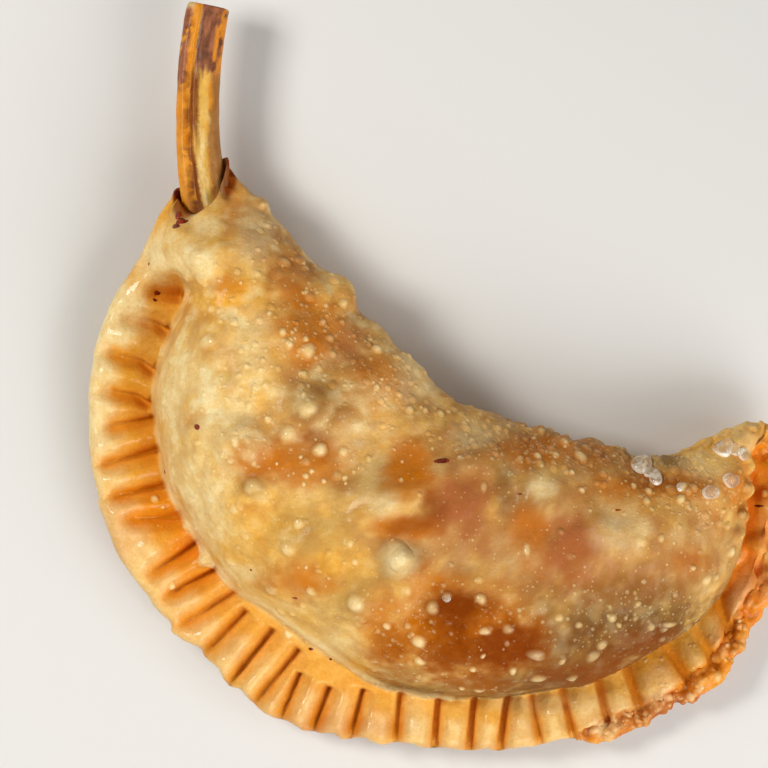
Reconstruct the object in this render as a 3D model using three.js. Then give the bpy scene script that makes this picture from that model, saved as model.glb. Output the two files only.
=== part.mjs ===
/**
 * A fried lamb empanada, lying on its back: a round of dough folded over its filling into a bent
 * half-moon, pressed shut with a fork along the outer edge, with a rib bone standing out of one corner.
 *
 * Millimetres, +Z up. X and Y span the empanada's plan and Z is its thickness. The mouth that holds
 * the bone is at the far left corner, the other tip at the right, and the folded back runs between them.
 */
import * as THREE from 'three';

const DEGREE = Math.PI / 180;

// Fork marks along the sealed edge
const MARK_PITCH = 7.0;
const MARK_FIRST = 0.178;
const MARK_LAST = 0.845;
const MARK_JITTER = 0.7;
const MARK_DEPTH = 2.3;
const MARK_ROWS = [-0.34, -0.2, -0.08, 0.08, 0.2, 0.34];

// Sealed edge
const EDGE_ROUNDING = 0.42;
const EDGE_WAVE = 0.45;
const EDGE_DRAW = 0.25;
const UNDER_LIP_WIDTH = 3.6;
const UNDER_LIP_DROP = 1.7;
const UNDER_LIP_SPAN = [0.6, 0.67, 0.83, 0.9];

// Belly
const APEX_PLACE = 0.46;
const WALL_PULL = 0.6;
const BACK_SHOULDER = 0.62;
const SOLE_PLACE = 0.5;
const SOLE_TURN = 0.62;
const SOLE_RISE = 0.22;
const CROSS_PULL = 0.85;
const THINNEST_RIM = 1.4;
const SKIN_PROBE = 1e-3;

// Rib bone: an arc of a circle in plan, level in height
const BONE_BEND_RADIUS = 110;
const BONE_BEND_CENTRE = [59.1, 54.5];
const BONE_HEIGHT = 14.2;
const BONE_START = 168.4 * DEGREE;
const BONE_LENGTH = 52;
const BONE_HALF_WIDTH = 4.4;
const BONE_ROOT_WIDENING = 0.35;
const BONE_HALF_THICKNESS = 3.3;
const BONE_SQUARENESS = 2.5;
const BONE_GROOVE = { angle: 124 * DEGREE, spread: 13 * DEGREE, depth: 0.75 };
const BONE_UNDER_GROOVE = { angle: 268 * DEGREE, spread: 30 * DEGREE, depth: 0.45 };
const BONE_EDGE_BREAK = 0.5;

// Mouth round the bone
const SOCKET_GAP = 0.3;
const MOUTH_GAP = 1.15;
const MOUTH_DEPTH = { middle: 37.6, side: -2.9, front: 4.3, twist: -1.9 };
const MOUTH_LIP = 0.8;
const MOUTH_DIP = 5.2;
const MOUTH_DIP_REACH = 0.15;

/**
 * Cross-sections of the dough from the mouth round to the far tip. In plan: the outer rim, the crease
 * where rim and belly meet, and the folded back. In height: crown of the belly, folded back, sole,
 * underside of the rim, its thickness, its outward curl. Then the lean of the belly's wall in degrees,
 * and how soon the wall turns over towards the crown, where a smaller share is squarer.
 */
const SECTIONS = [
  { rim: [-56.5, 37.2], crease: [-55.1, 36.8], fold: [-45, 43.2],
    crown: 20.2, back: 14.2, sole: 8.2, hem: 11.2, thick: 5.6, curl: 0, lean: 62, round: 0.45 },
  { rim: [-61, 28.3], crease: [-57.6, 27.2], fold: [-37.6, 35.4],
    crown: 24, back: 15, sole: 5, hem: 8, thick: 5.8, curl: 0, lean: 46, round: 0.45 },
  { rim: [-67.2, 17.3], crease: [-54.4, 16.2], fold: [-30, 26.6],
    crown: 29, back: 16, sole: 1.5, hem: 5.8, thick: 5.4, curl: 0, lean: 56, round: 0.42 },
  { rim: [-73.2, -8.7], crease: [-59.4, -7.6], fold: [-13.4, 9.4],
    crown: 34.5, back: 17, sole: -1.6, hem: 5.2, thick: 5.4, curl: 0, lean: 58, round: 0.42 },
  { rim: [-63.4, -41.5], crease: [-49.4, -33.6], fold: [-0.6, -3.4],
    crown: 36, back: 18, sole: -1.8, hem: 5, thick: 5.4, curl: 0, lean: 62, round: 0.4 },
  { rim: [-41.6, -65.6], crease: [-30.6, -52], fold: [9.1, -7.2],
    crown: 36.4, back: 18, sole: -1.8, hem: 5, thick: 5.4, curl: 0, lean: 68, round: 0.38 },
  { rim: [-10.5, -76.4], crease: [-9.6, -64], fold: [19.4, -11],
    crown: 36, back: 17.5, sole: -1.8, hem: 5, thick: 5.2, curl: 0, lean: 80, round: 0.36 },
  { rim: [21.4, -75.8], crease: [19.8, -64.2], fold: [30.9, -14.2],
    crown: 34.6, back: 17, sole: -1.8, hem: 4.8, thick: 5, curl: 0, lean: 94, round: 0.38 },
  { rim: [46.6, -69.4], crease: [41.6, -54.6], fold: [43.2, -16.9],
    crown: 31.4, back: 16, sole: -1.6, hem: 4.2, thick: 5, curl: 0.6, lean: 106, round: 0.46 },
  { rim: [64.8, -52.4], crease: [55.2, -42.6], fold: [54, -13.6],
    crown: 26, back: 13.5, sole: -0.8, hem: 3.6, thick: 4.8, curl: 2.4, lean: 116, round: 0.52 },
  { rim: [72.8, -27.8], crease: [61.2, -25.2], fold: [61.4, -10.6],
    crown: 19, back: 11, sole: 1.4, hem: 3.6, thick: 4.6, curl: 4.2, lean: 112, round: 0.5 },
  { rim: [69.4, -11.2], crease: [66.8, -12.2], fold: [65.6, -9.8],
    crown: 12, back: 9, sole: 5, hem: 5.6, thick: 3.6, curl: 2, lean: 90, round: 0.42 },
];

/** Bulges of the filling and large blisters on the upper side: plan place, radius, height. */
const BULGES = [
  { at: [-46.6, 23.9], radius: 8.2, height: 2.6 },
  { at: [-21.9, 18.1], radius: 4.4, height: 1.8 },
  { at: [-12.6, -0.6], radius: 6.4, height: 1.5 },
  { at: [-27, -6.6], radius: 4.4, height: 1.8 },
  { at: [-41.4, -13.8], radius: 4.6, height: 1.5 },
  { at: [-38.6, -22.5], radius: 3.2, height: 1.3 },
  { at: [-11.3, -26.2], radius: 6.8, height: 2.4 },
  { at: [-8.5, -37.7], radius: 4.2, height: 2.2 },
  { at: [-17.3, -47], radius: 3.6, height: 1.5 },
  { at: [21.4, -22.5], radius: 7, height: 1.6 },
  { at: [2, -22], radius: 9, height: 1.6 },
  { at: [27, -35], radius: 9, height: 1.5 },
  { at: [41, -33.4], radius: 7, height: 1.4 },
  { at: [10, -50], radius: 10, height: 1.6 },
  { at: [-29, -39.6], radius: 8, height: 1.2 },
  { at: [-38, 4], radius: 9, height: 1.2 },
  { at: [21, -56], radius: 4, height: 1.2 },
];

// Smaller blisters, scattered by a rule
const BLISTER_SEED = 20417;
const BLISTER_COUNT = 34;
const BLISTER_RADIUS = [2.9, 4.2];
const BLISTER_RISE = 0.2;

// Mesh density
const WALL_STEPS = 15;
const BACK_STEPS = 12;
const SOLE_STEPS = 5;
const HEM_STEPS = 1;
const RIM_TOP_STEPS = 5;
const WALL_START = 2.08;
const END_SPACING = 2.4;
const ROWS_PER_BAND = 3;
const BONE_SIDES = 32;
const BONE_RINGS = 13;

const clamp01 = (x) => Math.min(1, Math.max(0, x));
const mix = (a, b, f) => a + (b - a) * f;

/** Rises smoothly from 0 at a to 1 at b. */
function ease(a, b, x) {
  const f = clamp01((x - a) / (b - a));
  return f * f * (3 - 2 * f);
}

/** A repeatable source of numbers from 0 to 1. */
function dice(seed) {
  let state = seed;
  return () => {
    state = (state * 1664525 + 1013904223) % 4294967296;
    return state / 4294967296;
  };
}

/** Catmull-Rom blend of four numbers. */
function catmull(a, b, c, d, f) {
  const slopeIn = (c - a) / 2;
  const slopeOut = (d - b) / 2;
  return (2 * b - 2 * c + slopeIn + slopeOut) * f ** 3
    + (-3 * b + 3 * c - 2 * slopeIn - slopeOut) * f ** 2 + slopeIn * f + b;
}

/** The cross-section's sizes at u, from 0 at the mouth to 1 at the far tip. */
function sectionAt(u) {
  const last = SECTIONS.length - 1;
  const place = clamp01(u) * last;
  const k = Math.min(Math.floor(place), last - 1);
  const near = [k - 1, k, k + 1, k + 2].map((i) => SECTIONS[Math.min(last, Math.max(0, i))]);
  const blend = (pick) => catmull(...near.map(pick), place - k);
  const made = {};
  for (const name of ['rim', 'crease', 'fold']) {
    made[name] = new THREE.Vector2(blend((s) => s[name][0]), blend((s) => s[name][1]));
  }
  for (const name of ['crown', 'back', 'sole', 'hem', 'thick', 'curl', 'lean', 'round']) {
    made[name] = blend((s) => s[name]);
  }
  return made;
}

/** Arc length along the crease at evenly spaced u, for finding places along it. */
function measureCrease(steps) {
  const lengths = [0];
  let before = sectionAt(0).crease;
  for (let i = 1; i <= steps; i++) {
    const here = sectionAt(i / steps).crease;
    lengths.push(lengths[i - 1] + here.distanceTo(before));
    before = here;
  }
  return lengths;
}

const CREASE_LENGTHS = measureCrease(600);

/** Arc length along the crease at u. */
function lengthAt(u) {
  const place = clamp01(u) * (CREASE_LENGTHS.length - 1);
  const k = Math.min(Math.floor(place), CREASE_LENGTHS.length - 2);
  return mix(CREASE_LENGTHS[k], CREASE_LENGTHS[k + 1], place - k);
}

/** The u at an arc length along the crease. */
function placeAt(length) {
  const after = CREASE_LENGTHS.findIndex((l) => l >= length);
  const k = Math.max(1, after < 0 ? CREASE_LENGTHS.length - 1 : after);
  const f = (length - CREASE_LENGTHS[k - 1]) / (CREASE_LENGTHS[k] - CREASE_LENGTHS[k - 1]);
  return (k - 1 + f) / (CREASE_LENGTHS.length - 1);
}

/** Fork marks: place along the crease, half width and depth. They narrow and deepen away from the mouth. */
function makeMarks() {
  const roll = dice(7);
  const from = lengthAt(MARK_FIRST);
  const to = lengthAt(MARK_LAST);
  const count = Math.round((to - from) / MARK_PITCH);
  const marks = [];
  for (let i = 0; i <= count; i++) {
    const along = i / count;
    marks.push({
      at: mix(from, to, along) + (roll() - 0.5) * MARK_JITTER,
      half: mix(1.9, 1.15, ease(0.2, 0.5, along)) * mix(0.85, 1.15, roll()),
      depth: MARK_DEPTH * mix(0.75, 1, ease(0.1, 0.5, along)) * mix(0.8, 1.1, roll()),
    });
  }
  return marks;
}

const MARKS = makeMarks();

/** How deep the fork marks press at a length along the crease. */
function markDepth(length) {
  let deepest = 0;
  for (const mark of MARKS) {
    const off = Math.abs(length - mark.at);
    deepest = Math.max(deepest, mark.depth * (1 - ease(mark.half * 0.45, mark.half * 1.25, off)));
  }
  return deepest;
}

/** Share of the under lip, the lower dough layer that reaches out past the crimped one, at u. */
const underLip = (u) => ease(UNDER_LIP_SPAN[0], UNDER_LIP_SPAN[1], u)
  * (1 - ease(UNDER_LIP_SPAN[2], UNDER_LIP_SPAN[3], u));

/** A point of a cubic Bezier with [x, z] control points. */
function bezier(a, b, c, d, f) {
  const g = 1 - f;
  const weights = [g ** 3, 3 * g * g * f, 3 * g * f * f, f ** 3];
  const part = (i) => weights[0] * a[i] + weights[1] * b[i] + weights[2] * c[i] + weights[3] * d[i];
  return [part(0), part(1)];
}

/** Everything that the skin's zones need at u: the section, its plan line and its turning points. */
function frameAt(u) {
  const s = sectionAt(u);
  const ahead = sectionAt(Math.min(1, u + SKIN_PROBE)).fold;
  const behind = sectionAt(Math.max(0, u - SKIN_PROBE)).fold;
  const along = ahead.clone().sub(behind).normalize();
  s.inward = s.crease.clone().sub(s.rim);
  s.width = s.inward.length();
  s.inward.divideScalar(s.width);
  s.outOfFold = new THREE.Vector2(-along.y, along.x);
  s.reach = s.fold.distanceTo(s.crease);
  s.length = lengthAt(u);
  s.mark = markDepth(s.length);
  s.lip = underLip(u);
  s.wave = EDGE_WAVE * (Math.sin(s.length * 0.21) + 0.6 * Math.sin(s.length * 0.47 + 1.3));
  s.rounding = Math.min(EDGE_ROUNDING * s.thick, 0.45 * s.width);
  s.apex = [APEX_PLACE * s.reach, s.crown];
  s.low = [SOLE_PLACE * s.reach, s.sole];
  return s;
}

/** Plan point at a distance in from the crease; a negative distance lies over the rim. */
function planPoint(s, distance) {
  if (distance <= 0) return s.crease.clone().addScaledVector(s.inward, distance);
  const f = distance / s.reach;
  const pull = CROSS_PULL * s.reach;
  const h = [2 * f ** 3 - 3 * f * f + 1, f ** 3 - 2 * f * f + f, -2 * f ** 3 + 3 * f * f, f ** 3 - f * f];
  return s.crease.clone().multiplyScalar(h[0]).addScaledVector(s.inward, h[1] * pull)
    .addScaledVector(s.fold, h[2]).addScaledVector(s.outOfFold, h[3] * pull);
}

/** Height of the rim's underside at a share of the way in from the rim. */
const hemHeight = (s, share) => s.hem + s.wave * (1 - share) + s.curl * (1 - share) ** 1.6;

/** Height of the rim's top at a share of the way in, pressed down by a fork mark. */
function rimHeight(s, share, mark) {
  const body = s.thick * mix(1, 0.8, ease(0.45, 1, share));
  const inFromRim = share * s.width;
  const onLip = s.lip * (1 - ease(UNDER_LIP_WIDTH - 0.5, UNDER_LIP_WIDTH + 0.5, inFromRim));
  const pressed = mark * mix(0.55, 1, ease(0, 0.3, share)) * (1 - onLip);
  const deepest = hemHeight(s, share) + THINNEST_RIM;
  return Math.max(deepest, hemHeight(s, share) + body - UNDER_LIP_DROP * onLip - pressed);
}

/** Outer rounding of the rim, from its underside to its top: [place across, height] at f of the way. */
function roundingZone(s, f) {
  const turn = (f - 0.5) * Math.PI;
  const high = rimHeight(s, s.rounding / s.width, s.mark);
  const drawnIn = EDGE_DRAW * s.mark * Math.cos(turn);
  return [
    s.rounding * (1 - Math.cos(turn)) + drawnIn - s.width,
    mix(hemHeight(s, 0), high, 0.5 + 0.5 * Math.sin(turn)),
  ];
}

/** Top of the rim, in to the crease. */
function rimZone(s, f) {
  const share = mix(s.rounding / s.width, 1, f);
  return [(share - 1) * s.width, rimHeight(s, share, s.mark)];
}

/** Wall of the belly, from the crease up to the crown. Fork marks run out a little way up it. */
function wallZone(s, f) {
  const foot = rimHeight(s, 1, 0);
  const pull = WALL_PULL * (s.crown - foot);
  const lean = s.lean * DEGREE;
  const out = [pull * Math.cos(lean), foot + pull * Math.sin(lean)];
  return bezier([0, rimHeight(s, 1, s.mark)], out, [s.apex[0] * s.round, s.crown], s.apex, f);
}

/** Back of the belly, from the crown round to the folded back. */
function backZone(s, f) {
  const shoulder = [mix(s.apex[0], s.reach, BACK_SHOULDER), s.crown];
  const turnDown = [s.reach, mix(s.back, s.crown, 0.5)];
  return bezier(s.apex, shoulder, turnDown, [s.reach, s.back], f);
}

/** Underside, from the folded back in to the sole. */
function underZone(s, f) {
  const turnIn = [s.reach, mix(s.back, s.sole, SOLE_TURN)];
  const level = [mix(s.low[0], s.reach, 0.55), s.sole];
  return bezier([s.reach, s.back], turnIn, level, s.low, f);
}

/** Underside, from the sole out to the crease. */
function soleZone(s, f) {
  const under = hemHeight(s, 1);
  const level = [s.low[0] * 0.5, s.sole];
  const rising = [s.low[0] * SOLE_RISE, mix(under, s.sole, 0.55)];
  return bezier(s.low, level, rising, [0, under], f);
}

/** Underside of the rim, out to its edge. */
const hemZone = (s, f) => [-f * s.width, hemHeight(s, 1 - f)];

const ZONES = [roundingZone, rimZone, wallZone, backZone, underZone, soleZone, hemZone];

/** How far the front of the mouth's lip is drawn back from its rear at u, by height. */
function mouthDip(s, u, height) {
  return MOUTH_DIP * (1 - ease(0, MOUTH_DIP_REACH, u)) * ease(0.1, 0.9, (height - s.back) / (s.crown - s.back));
}

/** The dough's skin before its bulges: u runs along it and q round it, one unit for each of the ZONES. */
function skin(u, q) {
  const s = frameAt(u);
  const zone = Math.min(ZONES.length - 1, Math.floor(q));
  const [across, height] = ZONES[zone](s, q - zone);
  const plan = planPoint(s, across);
  return new THREE.Vector3(plan.x, plan.y - mouthDip(s, u, height), height);
}

/** Outward normal of the skin at u and q. */
function skinNormal(u, q) {
  const zone = Math.floor(q);
  const q0 = Math.max(zone, q - SKIN_PROBE);
  const q1 = Math.min(zone + 1 - 1e-9, q0 + 2 * SKIN_PROBE);
  const u0 = Math.min(1 - 2 * SKIN_PROBE, Math.max(0, u - SKIN_PROBE));
  const acrossU = skin(u0 + 2 * SKIN_PROBE, q).sub(skin(u0, q));
  const acrossQ = skin(u, q1).sub(skin(u, q0));
  return acrossU.cross(acrossQ).normalize();
}

/** Small blisters, scattered over the belly on both sides. */
function scatterBlisters() {
  const roll = dice(BLISTER_SEED);
  const made = [];
  for (let i = 0; i < BLISTER_COUNT; i++) {
    const u = mix(0.14, 0.97, roll());
    const q = 2.25 + 3.4 * roll();
    const radius = mix(BLISTER_RADIUS[0], BLISTER_RADIUS[1], roll() ** 2);
    made.push({ centre: skin(u, q), radius, height: radius * BLISTER_RISE });
  }
  return made;
}

const BLISTERS = scatterBlisters();

/** A round-topped swelling: 1 at its centre and 0 from its radius out. */
const swelling = (share) => (share >= 1 ? 0 : (1 - share * share) ** 2 * (1 + 0.6 * share * share));

/** How far the skin stands out at a point: bulges on the upper side, blisters all over. */
function relief(point, q) {
  let out = 0;
  if (q > 2 && q < 4.2) {
    const shown = ease(2.05, 2.3, q) * (1 - ease(3.9, 4.2, q));
    for (const b of BULGES) {
      const off = Math.hypot(point.x - b.at[0], point.y - b.at[1]);
      out += shown * b.height * swelling(off / (1.45 * b.radius));
    }
  }
  for (const b of BLISTERS) {
    out += b.height * swelling(point.distanceTo(b.centre) / (1.3 * b.radius));
  }
  return out;
}

/** The finished skin: bulged outwards, and flat where it rests. */
function crust(u, q) {
  const point = skin(u, q);
  const out = relief(point, q);
  if (out > 0) point.addScaledVector(skinNormal(u, q), out);
  point.z = Math.max(0, point.z);
  return point;
}

/** A point on the bone's centre line and the direction across it, at a distance from the sawn end. */
function boneAxis(distance) {
  const turn = BONE_START + distance / BONE_BEND_RADIUS;
  const across = new THREE.Vector3(-Math.cos(turn), -Math.sin(turn), 0);
  const centre = new THREE.Vector3(BONE_BEND_CENTRE[0], BONE_BEND_CENTRE[1], BONE_HEIGHT);
  return { point: centre.addScaledVector(across, -BONE_BEND_RADIUS), across };
}

/** Difference of two angles, from -180 to 180 degrees. */
const turnBetween = (a, b) => Math.atan2(Math.sin(a - b), Math.cos(a - b));

/** Radius of the bone's section at an angle from its inner side, at a distance from the sawn end. */
function boneRadius(angle, distance) {
  const width = BONE_HALF_WIDTH + BONE_ROOT_WIDENING * ease(20, 40, distance);
  const across = Math.abs(Math.cos(angle)) / width;
  const up = Math.abs(Math.sin(angle)) / BONE_HALF_THICKNESS;
  const round = (across ** BONE_SQUARENESS + up ** BONE_SQUARENESS) ** (-1 / BONE_SQUARENESS);
  const cut = [BONE_GROOVE, BONE_UNDER_GROOVE].map((g) => {
    const off = turnBetween(angle, g.angle) / g.spread;
    return g.depth * Math.exp(-off * off);
  });
  return round - cut[0] - cut[1];
}

/** A point at a distance along, an angle round and a clearance off the bone. */
function aroundBone(distance, angle, clearance) {
  const { point, across } = boneAxis(distance);
  const radius = boneRadius(angle, distance) + clearance;
  point.addScaledVector(across, radius * Math.cos(angle));
  point.z += radius * Math.sin(angle);
  return point;
}

/** Distance of the mouth's lip from the sawn end, round the bone. */
function lipDistance(angle) {
  const d = MOUTH_DEPTH;
  return d.middle + d.side * Math.cos(angle) + d.front * Math.sin(angle) + d.twist * Math.cos(2 * angle);
}

/** Rows along the dough: a few at each end and a fixed pattern at each fork mark, in whole bands. */
function makeRows() {
  const total = lengthAt(1);
  const first = MARKS[0].at - MARK_PITCH / 2;
  const last = MARKS[MARKS.length - 1].at + MARK_PITCH / 2;
  const lengths = [];
  const before = ROWS_PER_BAND * Math.ceil(first / END_SPACING / ROWS_PER_BAND);
  for (let i = 0; i < before; i++) lengths.push((first * i) / before);
  for (const mark of MARKS) {
    for (const phase of MARK_ROWS) lengths.push(mark.at + phase * MARK_PITCH);
  }
  const after = ROWS_PER_BAND * Math.ceil((total - last) / END_SPACING / ROWS_PER_BAND);
  for (let i = 0; i <= after; i++) lengths.push(mix(last, total, i / after));
  return lengths.map(placeAt);
}

/** Places round the section: first the ones kept on every row, then the ones kept once in each band. */
function makeRounds() {
  const fine = [0, 0.5, 1];
  for (let i = 1; i <= RIM_TOP_STEPS; i++) fine.push(1 + i / RIM_TOP_STEPS - (i === RIM_TOP_STEPS ? 1e-9 : 0));
  fine.push(WALL_START);
  const coarse = [];
  for (let i = 1; i <= WALL_STEPS; i++) coarse.push(mix(WALL_START, 3, i / WALL_STEPS));
  for (let i = 1; i <= BACK_STEPS; i++) coarse.push(3 + i / BACK_STEPS);
  for (let i = 1; i <= 2 * SOLE_STEPS; i++) coarse.push(4 + i / SOLE_STEPS);
  for (let i = 1; i <= HEM_STEPS; i++) coarse.push(6 + i / (HEM_STEPS + 1));
  return { fine, coarse };
}

/** Gathers corners and triangles of one closed body. */
class Shell {
  constructor() {
    this.corners = [];
    this.faces = [];
  }

  corner(point) {
    this.corners.push(point.x, point.y, point.z);
    return this.corners.length / 3 - 1;
  }

  /** Distance between two corners. */
  span(a, b) {
    const [from, to] = [a, b].map((i) => new THREE.Vector3().fromArray(this.corners, 3 * i));
    return from.distanceTo(to);
  }

  /** A four-cornered face, split along its shorter diagonal. */
  quad(a, b, c, d) {
    if (this.span(a, c) <= this.span(b, d)) this.faces.push(a, b, c, a, c, d);
    else this.faces.push(a, b, d, b, c, d);
  }

  /** Joins two closed rings of equal count. */
  band(ring, next) {
    ring.forEach((a, i) => {
      const j = (i + 1) % ring.length;
      this.quad(a, ring[j], next[j], next[i]);
    });
  }

  /** Joins a line of corners to the single edge beside it, from near to far. */
  stitch(line, near, far, flip) {
    const face = (a, b, c) => this.faces.push(...(flip ? [a, c, b] : [a, b, c]));
    const split = Math.floor(line.length / 2);
    for (let i = 0; i < split; i++) face(line[i], line[i + 1], near);
    face(line[split], far, near);
    for (let i = split; i + 1 < line.length; i++) face(line[i], line[i + 1], far);
  }

  /** Closes a ring with a fan round its middle. */
  cap(ring, middle, flip) {
    const hub = this.corner(middle);
    ring.forEach((a, i) => {
      const b = ring[(i + 1) % ring.length];
      this.faces.push(hub, ...(flip ? [b, a] : [a, b]));
    });
  }

  geometry() {
    const made = new THREE.BufferGeometry();
    made.setAttribute('position', new THREE.Float32BufferAttribute(this.corners, 3));
    made.setIndex(this.faces);
    made.computeVertexNormals();
    return made;
  }
}

/** The dough: one closed skin, drawn in at the mouth to line the bone's socket. */
function makePastry() {
  const shell = new Shell();
  const rows = makeRows();
  const { fine, coarse } = makeRounds();
  const fineGrid = rows.map((u) => fine.map((q) => shell.corner(crust(u, q))));
  const bandRows = rows.filter((_, i) => i % ROWS_PER_BAND === 0);
  const coarseGrid = bandRows.map((u) => coarse.map((q) => shell.corner(crust(u, q))));
  for (let i = 0; i + 1 < rows.length; i++) {
    for (let j = 0; j + 1 < fine.length; j++) {
      shell.quad(fineGrid[i][j], fineGrid[i + 1][j], fineGrid[i + 1][j + 1], fineGrid[i][j + 1]);
    }
  }
  const end = coarse.length - 1;
  for (let k = 0; k + 1 < coarseGrid.length; k++) {
    const [near, far] = [coarseGrid[k], coarseGrid[k + 1]];
    for (let j = 0; j < end; j++) shell.quad(near[j], far[j], far[j + 1], near[j + 1]);
    const band = fineGrid.slice(ROWS_PER_BAND * k, ROWS_PER_BAND * (k + 1) + 1);
    shell.stitch(band.map((row) => row[fine.length - 1]), near[0], far[0], false);
    shell.stitch(band.map((row) => row[0]), near[end], far[end], true);
  }
  const mouth = [...fineGrid[0], ...coarseGrid[0]];
  lineSocket(shell, mouth);
  const tip = [...fineGrid[rows.length - 1], ...coarseGrid[coarseGrid.length - 1]];
  const tipPoints = tip.map((i) => new THREE.Vector3().fromArray(shell.corners, 3 * i));
  const middle = tipPoints.reduce((sum, p) => sum.add(p), new THREE.Vector3()).divideScalar(tip.length);
  shell.cap(tip, middle, true);
  return shell.geometry();
}

/** Lines the socket from the mouth's outer ring: over the lip, along the bone and across its inner end. */
function lineSocket(shell, mouth) {
  const points = mouth.map((i) => new THREE.Vector3().fromArray(shell.corners, 3 * i));
  const angles = points.map((p) => {
    const { point, across } = boneAxis(MOUTH_DEPTH.middle);
    const off = p.clone().sub(point);
    return Math.atan2(off.z, off.dot(across));
  });
  const rings = [
    { into: 0, clearance: MOUTH_GAP, half: true },
    { into: 0.06, clearance: MOUTH_GAP, half: false },
    { into: 0.4, clearance: 0.75 * MOUTH_GAP, half: false },
    { into: 1, clearance: SOCKET_GAP, half: false },
  ];
  let outer = mouth;
  for (const ring of rings) {
    const inner = angles.map((angle, i) => {
      const lip = lipDistance(angle);
      const wall = aroundBone(mix(lip, BONE_LENGTH + SOCKET_GAP, ring.into), angle, ring.clearance);
      if (!ring.half) return shell.corner(wall);
      const crest = wall.clone().lerp(points[i], 0.5);
      crest.y += MOUTH_LIP;
      return shell.corner(crest);
    });
    shell.band(outer, inner);
    outer = inner;
  }
  shell.cap(outer, boneAxis(BONE_LENGTH + SOCKET_GAP).point, false);
}

/** The rib bone: grooved along its faces, sawn square at the far end. */
function makeBone() {
  const shell = new Shell();
  const angles = Array.from({ length: BONE_SIDES }, (_, i) => (i / BONE_SIDES) * 2 * Math.PI);
  const places = [{ at: 0, in: BONE_EDGE_BREAK }];
  for (let i = 0; i < BONE_RINGS; i++) {
    places.push({ at: mix(BONE_EDGE_BREAK, BONE_LENGTH - BONE_EDGE_BREAK, i / (BONE_RINGS - 1)), in: 0 });
  }
  places.push({ at: BONE_LENGTH, in: BONE_EDGE_BREAK });
  const rings = places.map((p) => angles.map((a) => shell.corner(aroundBone(p.at, a, -p.in))));
  for (let i = 0; i + 1 < rings.length; i++) shell.band(rings[i], rings[i + 1]);
  shell.cap(rings[0], boneAxis(0).point, true);
  shell.cap(rings[rings.length - 1], boneAxis(BONE_LENGTH).point, false);
  return shell.geometry();
}

/** One named piece of the object. */
function piece(name, geometry, colour, roughness) {
  const mesh = new THREE.Mesh(geometry, new THREE.MeshStandardMaterial({ color: colour, roughness, metalness: 0 }));
  mesh.name = name;
  return mesh;
}

const empanada = new THREE.Group();
empanada.add(piece('pastry', makePastry(), 0xdca55a, 0.5));
empanada.add(piece('rib_bone', makeBone(), 0xd08a3c, 0.45));

const bounds = new THREE.Box3().setFromObject(empanada);
const middle = bounds.getCenter(new THREE.Vector3());
empanada.children.forEach((mesh) => mesh.position.set(-middle.x, -middle.y, -bounds.min.z));

export default empanada;
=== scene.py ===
"""Looks of a fried lamb empanada that lies on its back, built round its fixed solids.

The solids of the dough and of the rib bone are replaced by fine meshes of the same form. Forms are
worked out in millimetres, in the solids' own frame, and made into meshes in metres.
"""

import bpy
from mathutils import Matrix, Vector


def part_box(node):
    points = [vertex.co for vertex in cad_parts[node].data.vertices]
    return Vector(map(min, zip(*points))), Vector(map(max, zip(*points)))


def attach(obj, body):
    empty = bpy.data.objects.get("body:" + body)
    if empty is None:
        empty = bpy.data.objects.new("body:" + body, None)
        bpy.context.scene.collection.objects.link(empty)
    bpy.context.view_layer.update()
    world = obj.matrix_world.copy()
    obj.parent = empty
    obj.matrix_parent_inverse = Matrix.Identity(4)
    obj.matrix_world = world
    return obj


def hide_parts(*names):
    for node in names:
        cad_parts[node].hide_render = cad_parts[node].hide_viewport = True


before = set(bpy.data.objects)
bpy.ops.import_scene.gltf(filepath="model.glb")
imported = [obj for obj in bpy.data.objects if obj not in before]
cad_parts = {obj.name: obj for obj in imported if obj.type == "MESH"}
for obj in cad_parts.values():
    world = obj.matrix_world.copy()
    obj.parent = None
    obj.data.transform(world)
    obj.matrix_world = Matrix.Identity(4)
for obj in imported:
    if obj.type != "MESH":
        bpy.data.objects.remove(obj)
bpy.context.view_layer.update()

import logging
import math
from dataclasses import astuple, dataclass, field
from enum import Enum
from typing import Callable, Iterator, Sequence

import bpy
import numpy as np
from mathutils import Vector, noise
from mathutils.bvhtree import BVHTree

log = logging.getLogger("empanada")

MM = 0.001
TURN = 2 * math.pi
PICTURE_PX = 768
Array = np.ndarray


def clamp01(x: Array) -> Array:
    """Limits to the span from 0 to 1."""
    return np.clip(x, 0.0, 1.0)


def mix(a: Array, b: Array, f: Array) -> Array:
    """Straight blend from a to b."""
    return a + (b - a) * f


def ease(a: float, b: float, x: Array) -> Array:
    """Rises smoothly from 0 at a to 1 at b."""
    f = clamp01((np.asarray(x, float) - a) / (b - a))
    return f * f * (3 - 2 * f)


def swelling(share: Array) -> Array:
    """A round-topped hump: 1 at its centre and 0 from share 1 out."""
    inside = np.minimum(share, 1.0) ** 2
    return (1 - inside) ** 2 * (1 + 0.6 * inside)


def ripple(points: Array, cell: float, octaves: int = 2, seed: float = 0.0) -> Array:
    """Smooth uneven values at points.

    Args:
        points: Places in millimetres, the last axis being x, y, z.
        cell: Size of the largest unevenness in millimetres.
        octaves: How many finer layers are added, each at half the size.
        seed: Shifts the pattern.

    Returns:
        A value near -1 to 1 for each point.
    """
    flat = points.reshape(-1, 3) / cell + seed
    values = [noise.fractal(p, 0.9, 2.0, octaves) for p in flat.tolist()]
    return np.array(values).reshape(points.shape[:-1])


def apart(angle: Array, at: float) -> Array:
    """The shorter way round from one angle to others."""
    return np.arctan2(np.sin(angle - at), np.cos(angle - at))


def many(kind: type, *rows: tuple) -> tuple:
    """One thing of a kind for each row of its values."""
    return tuple(kind(*row) for row in rows)


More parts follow.
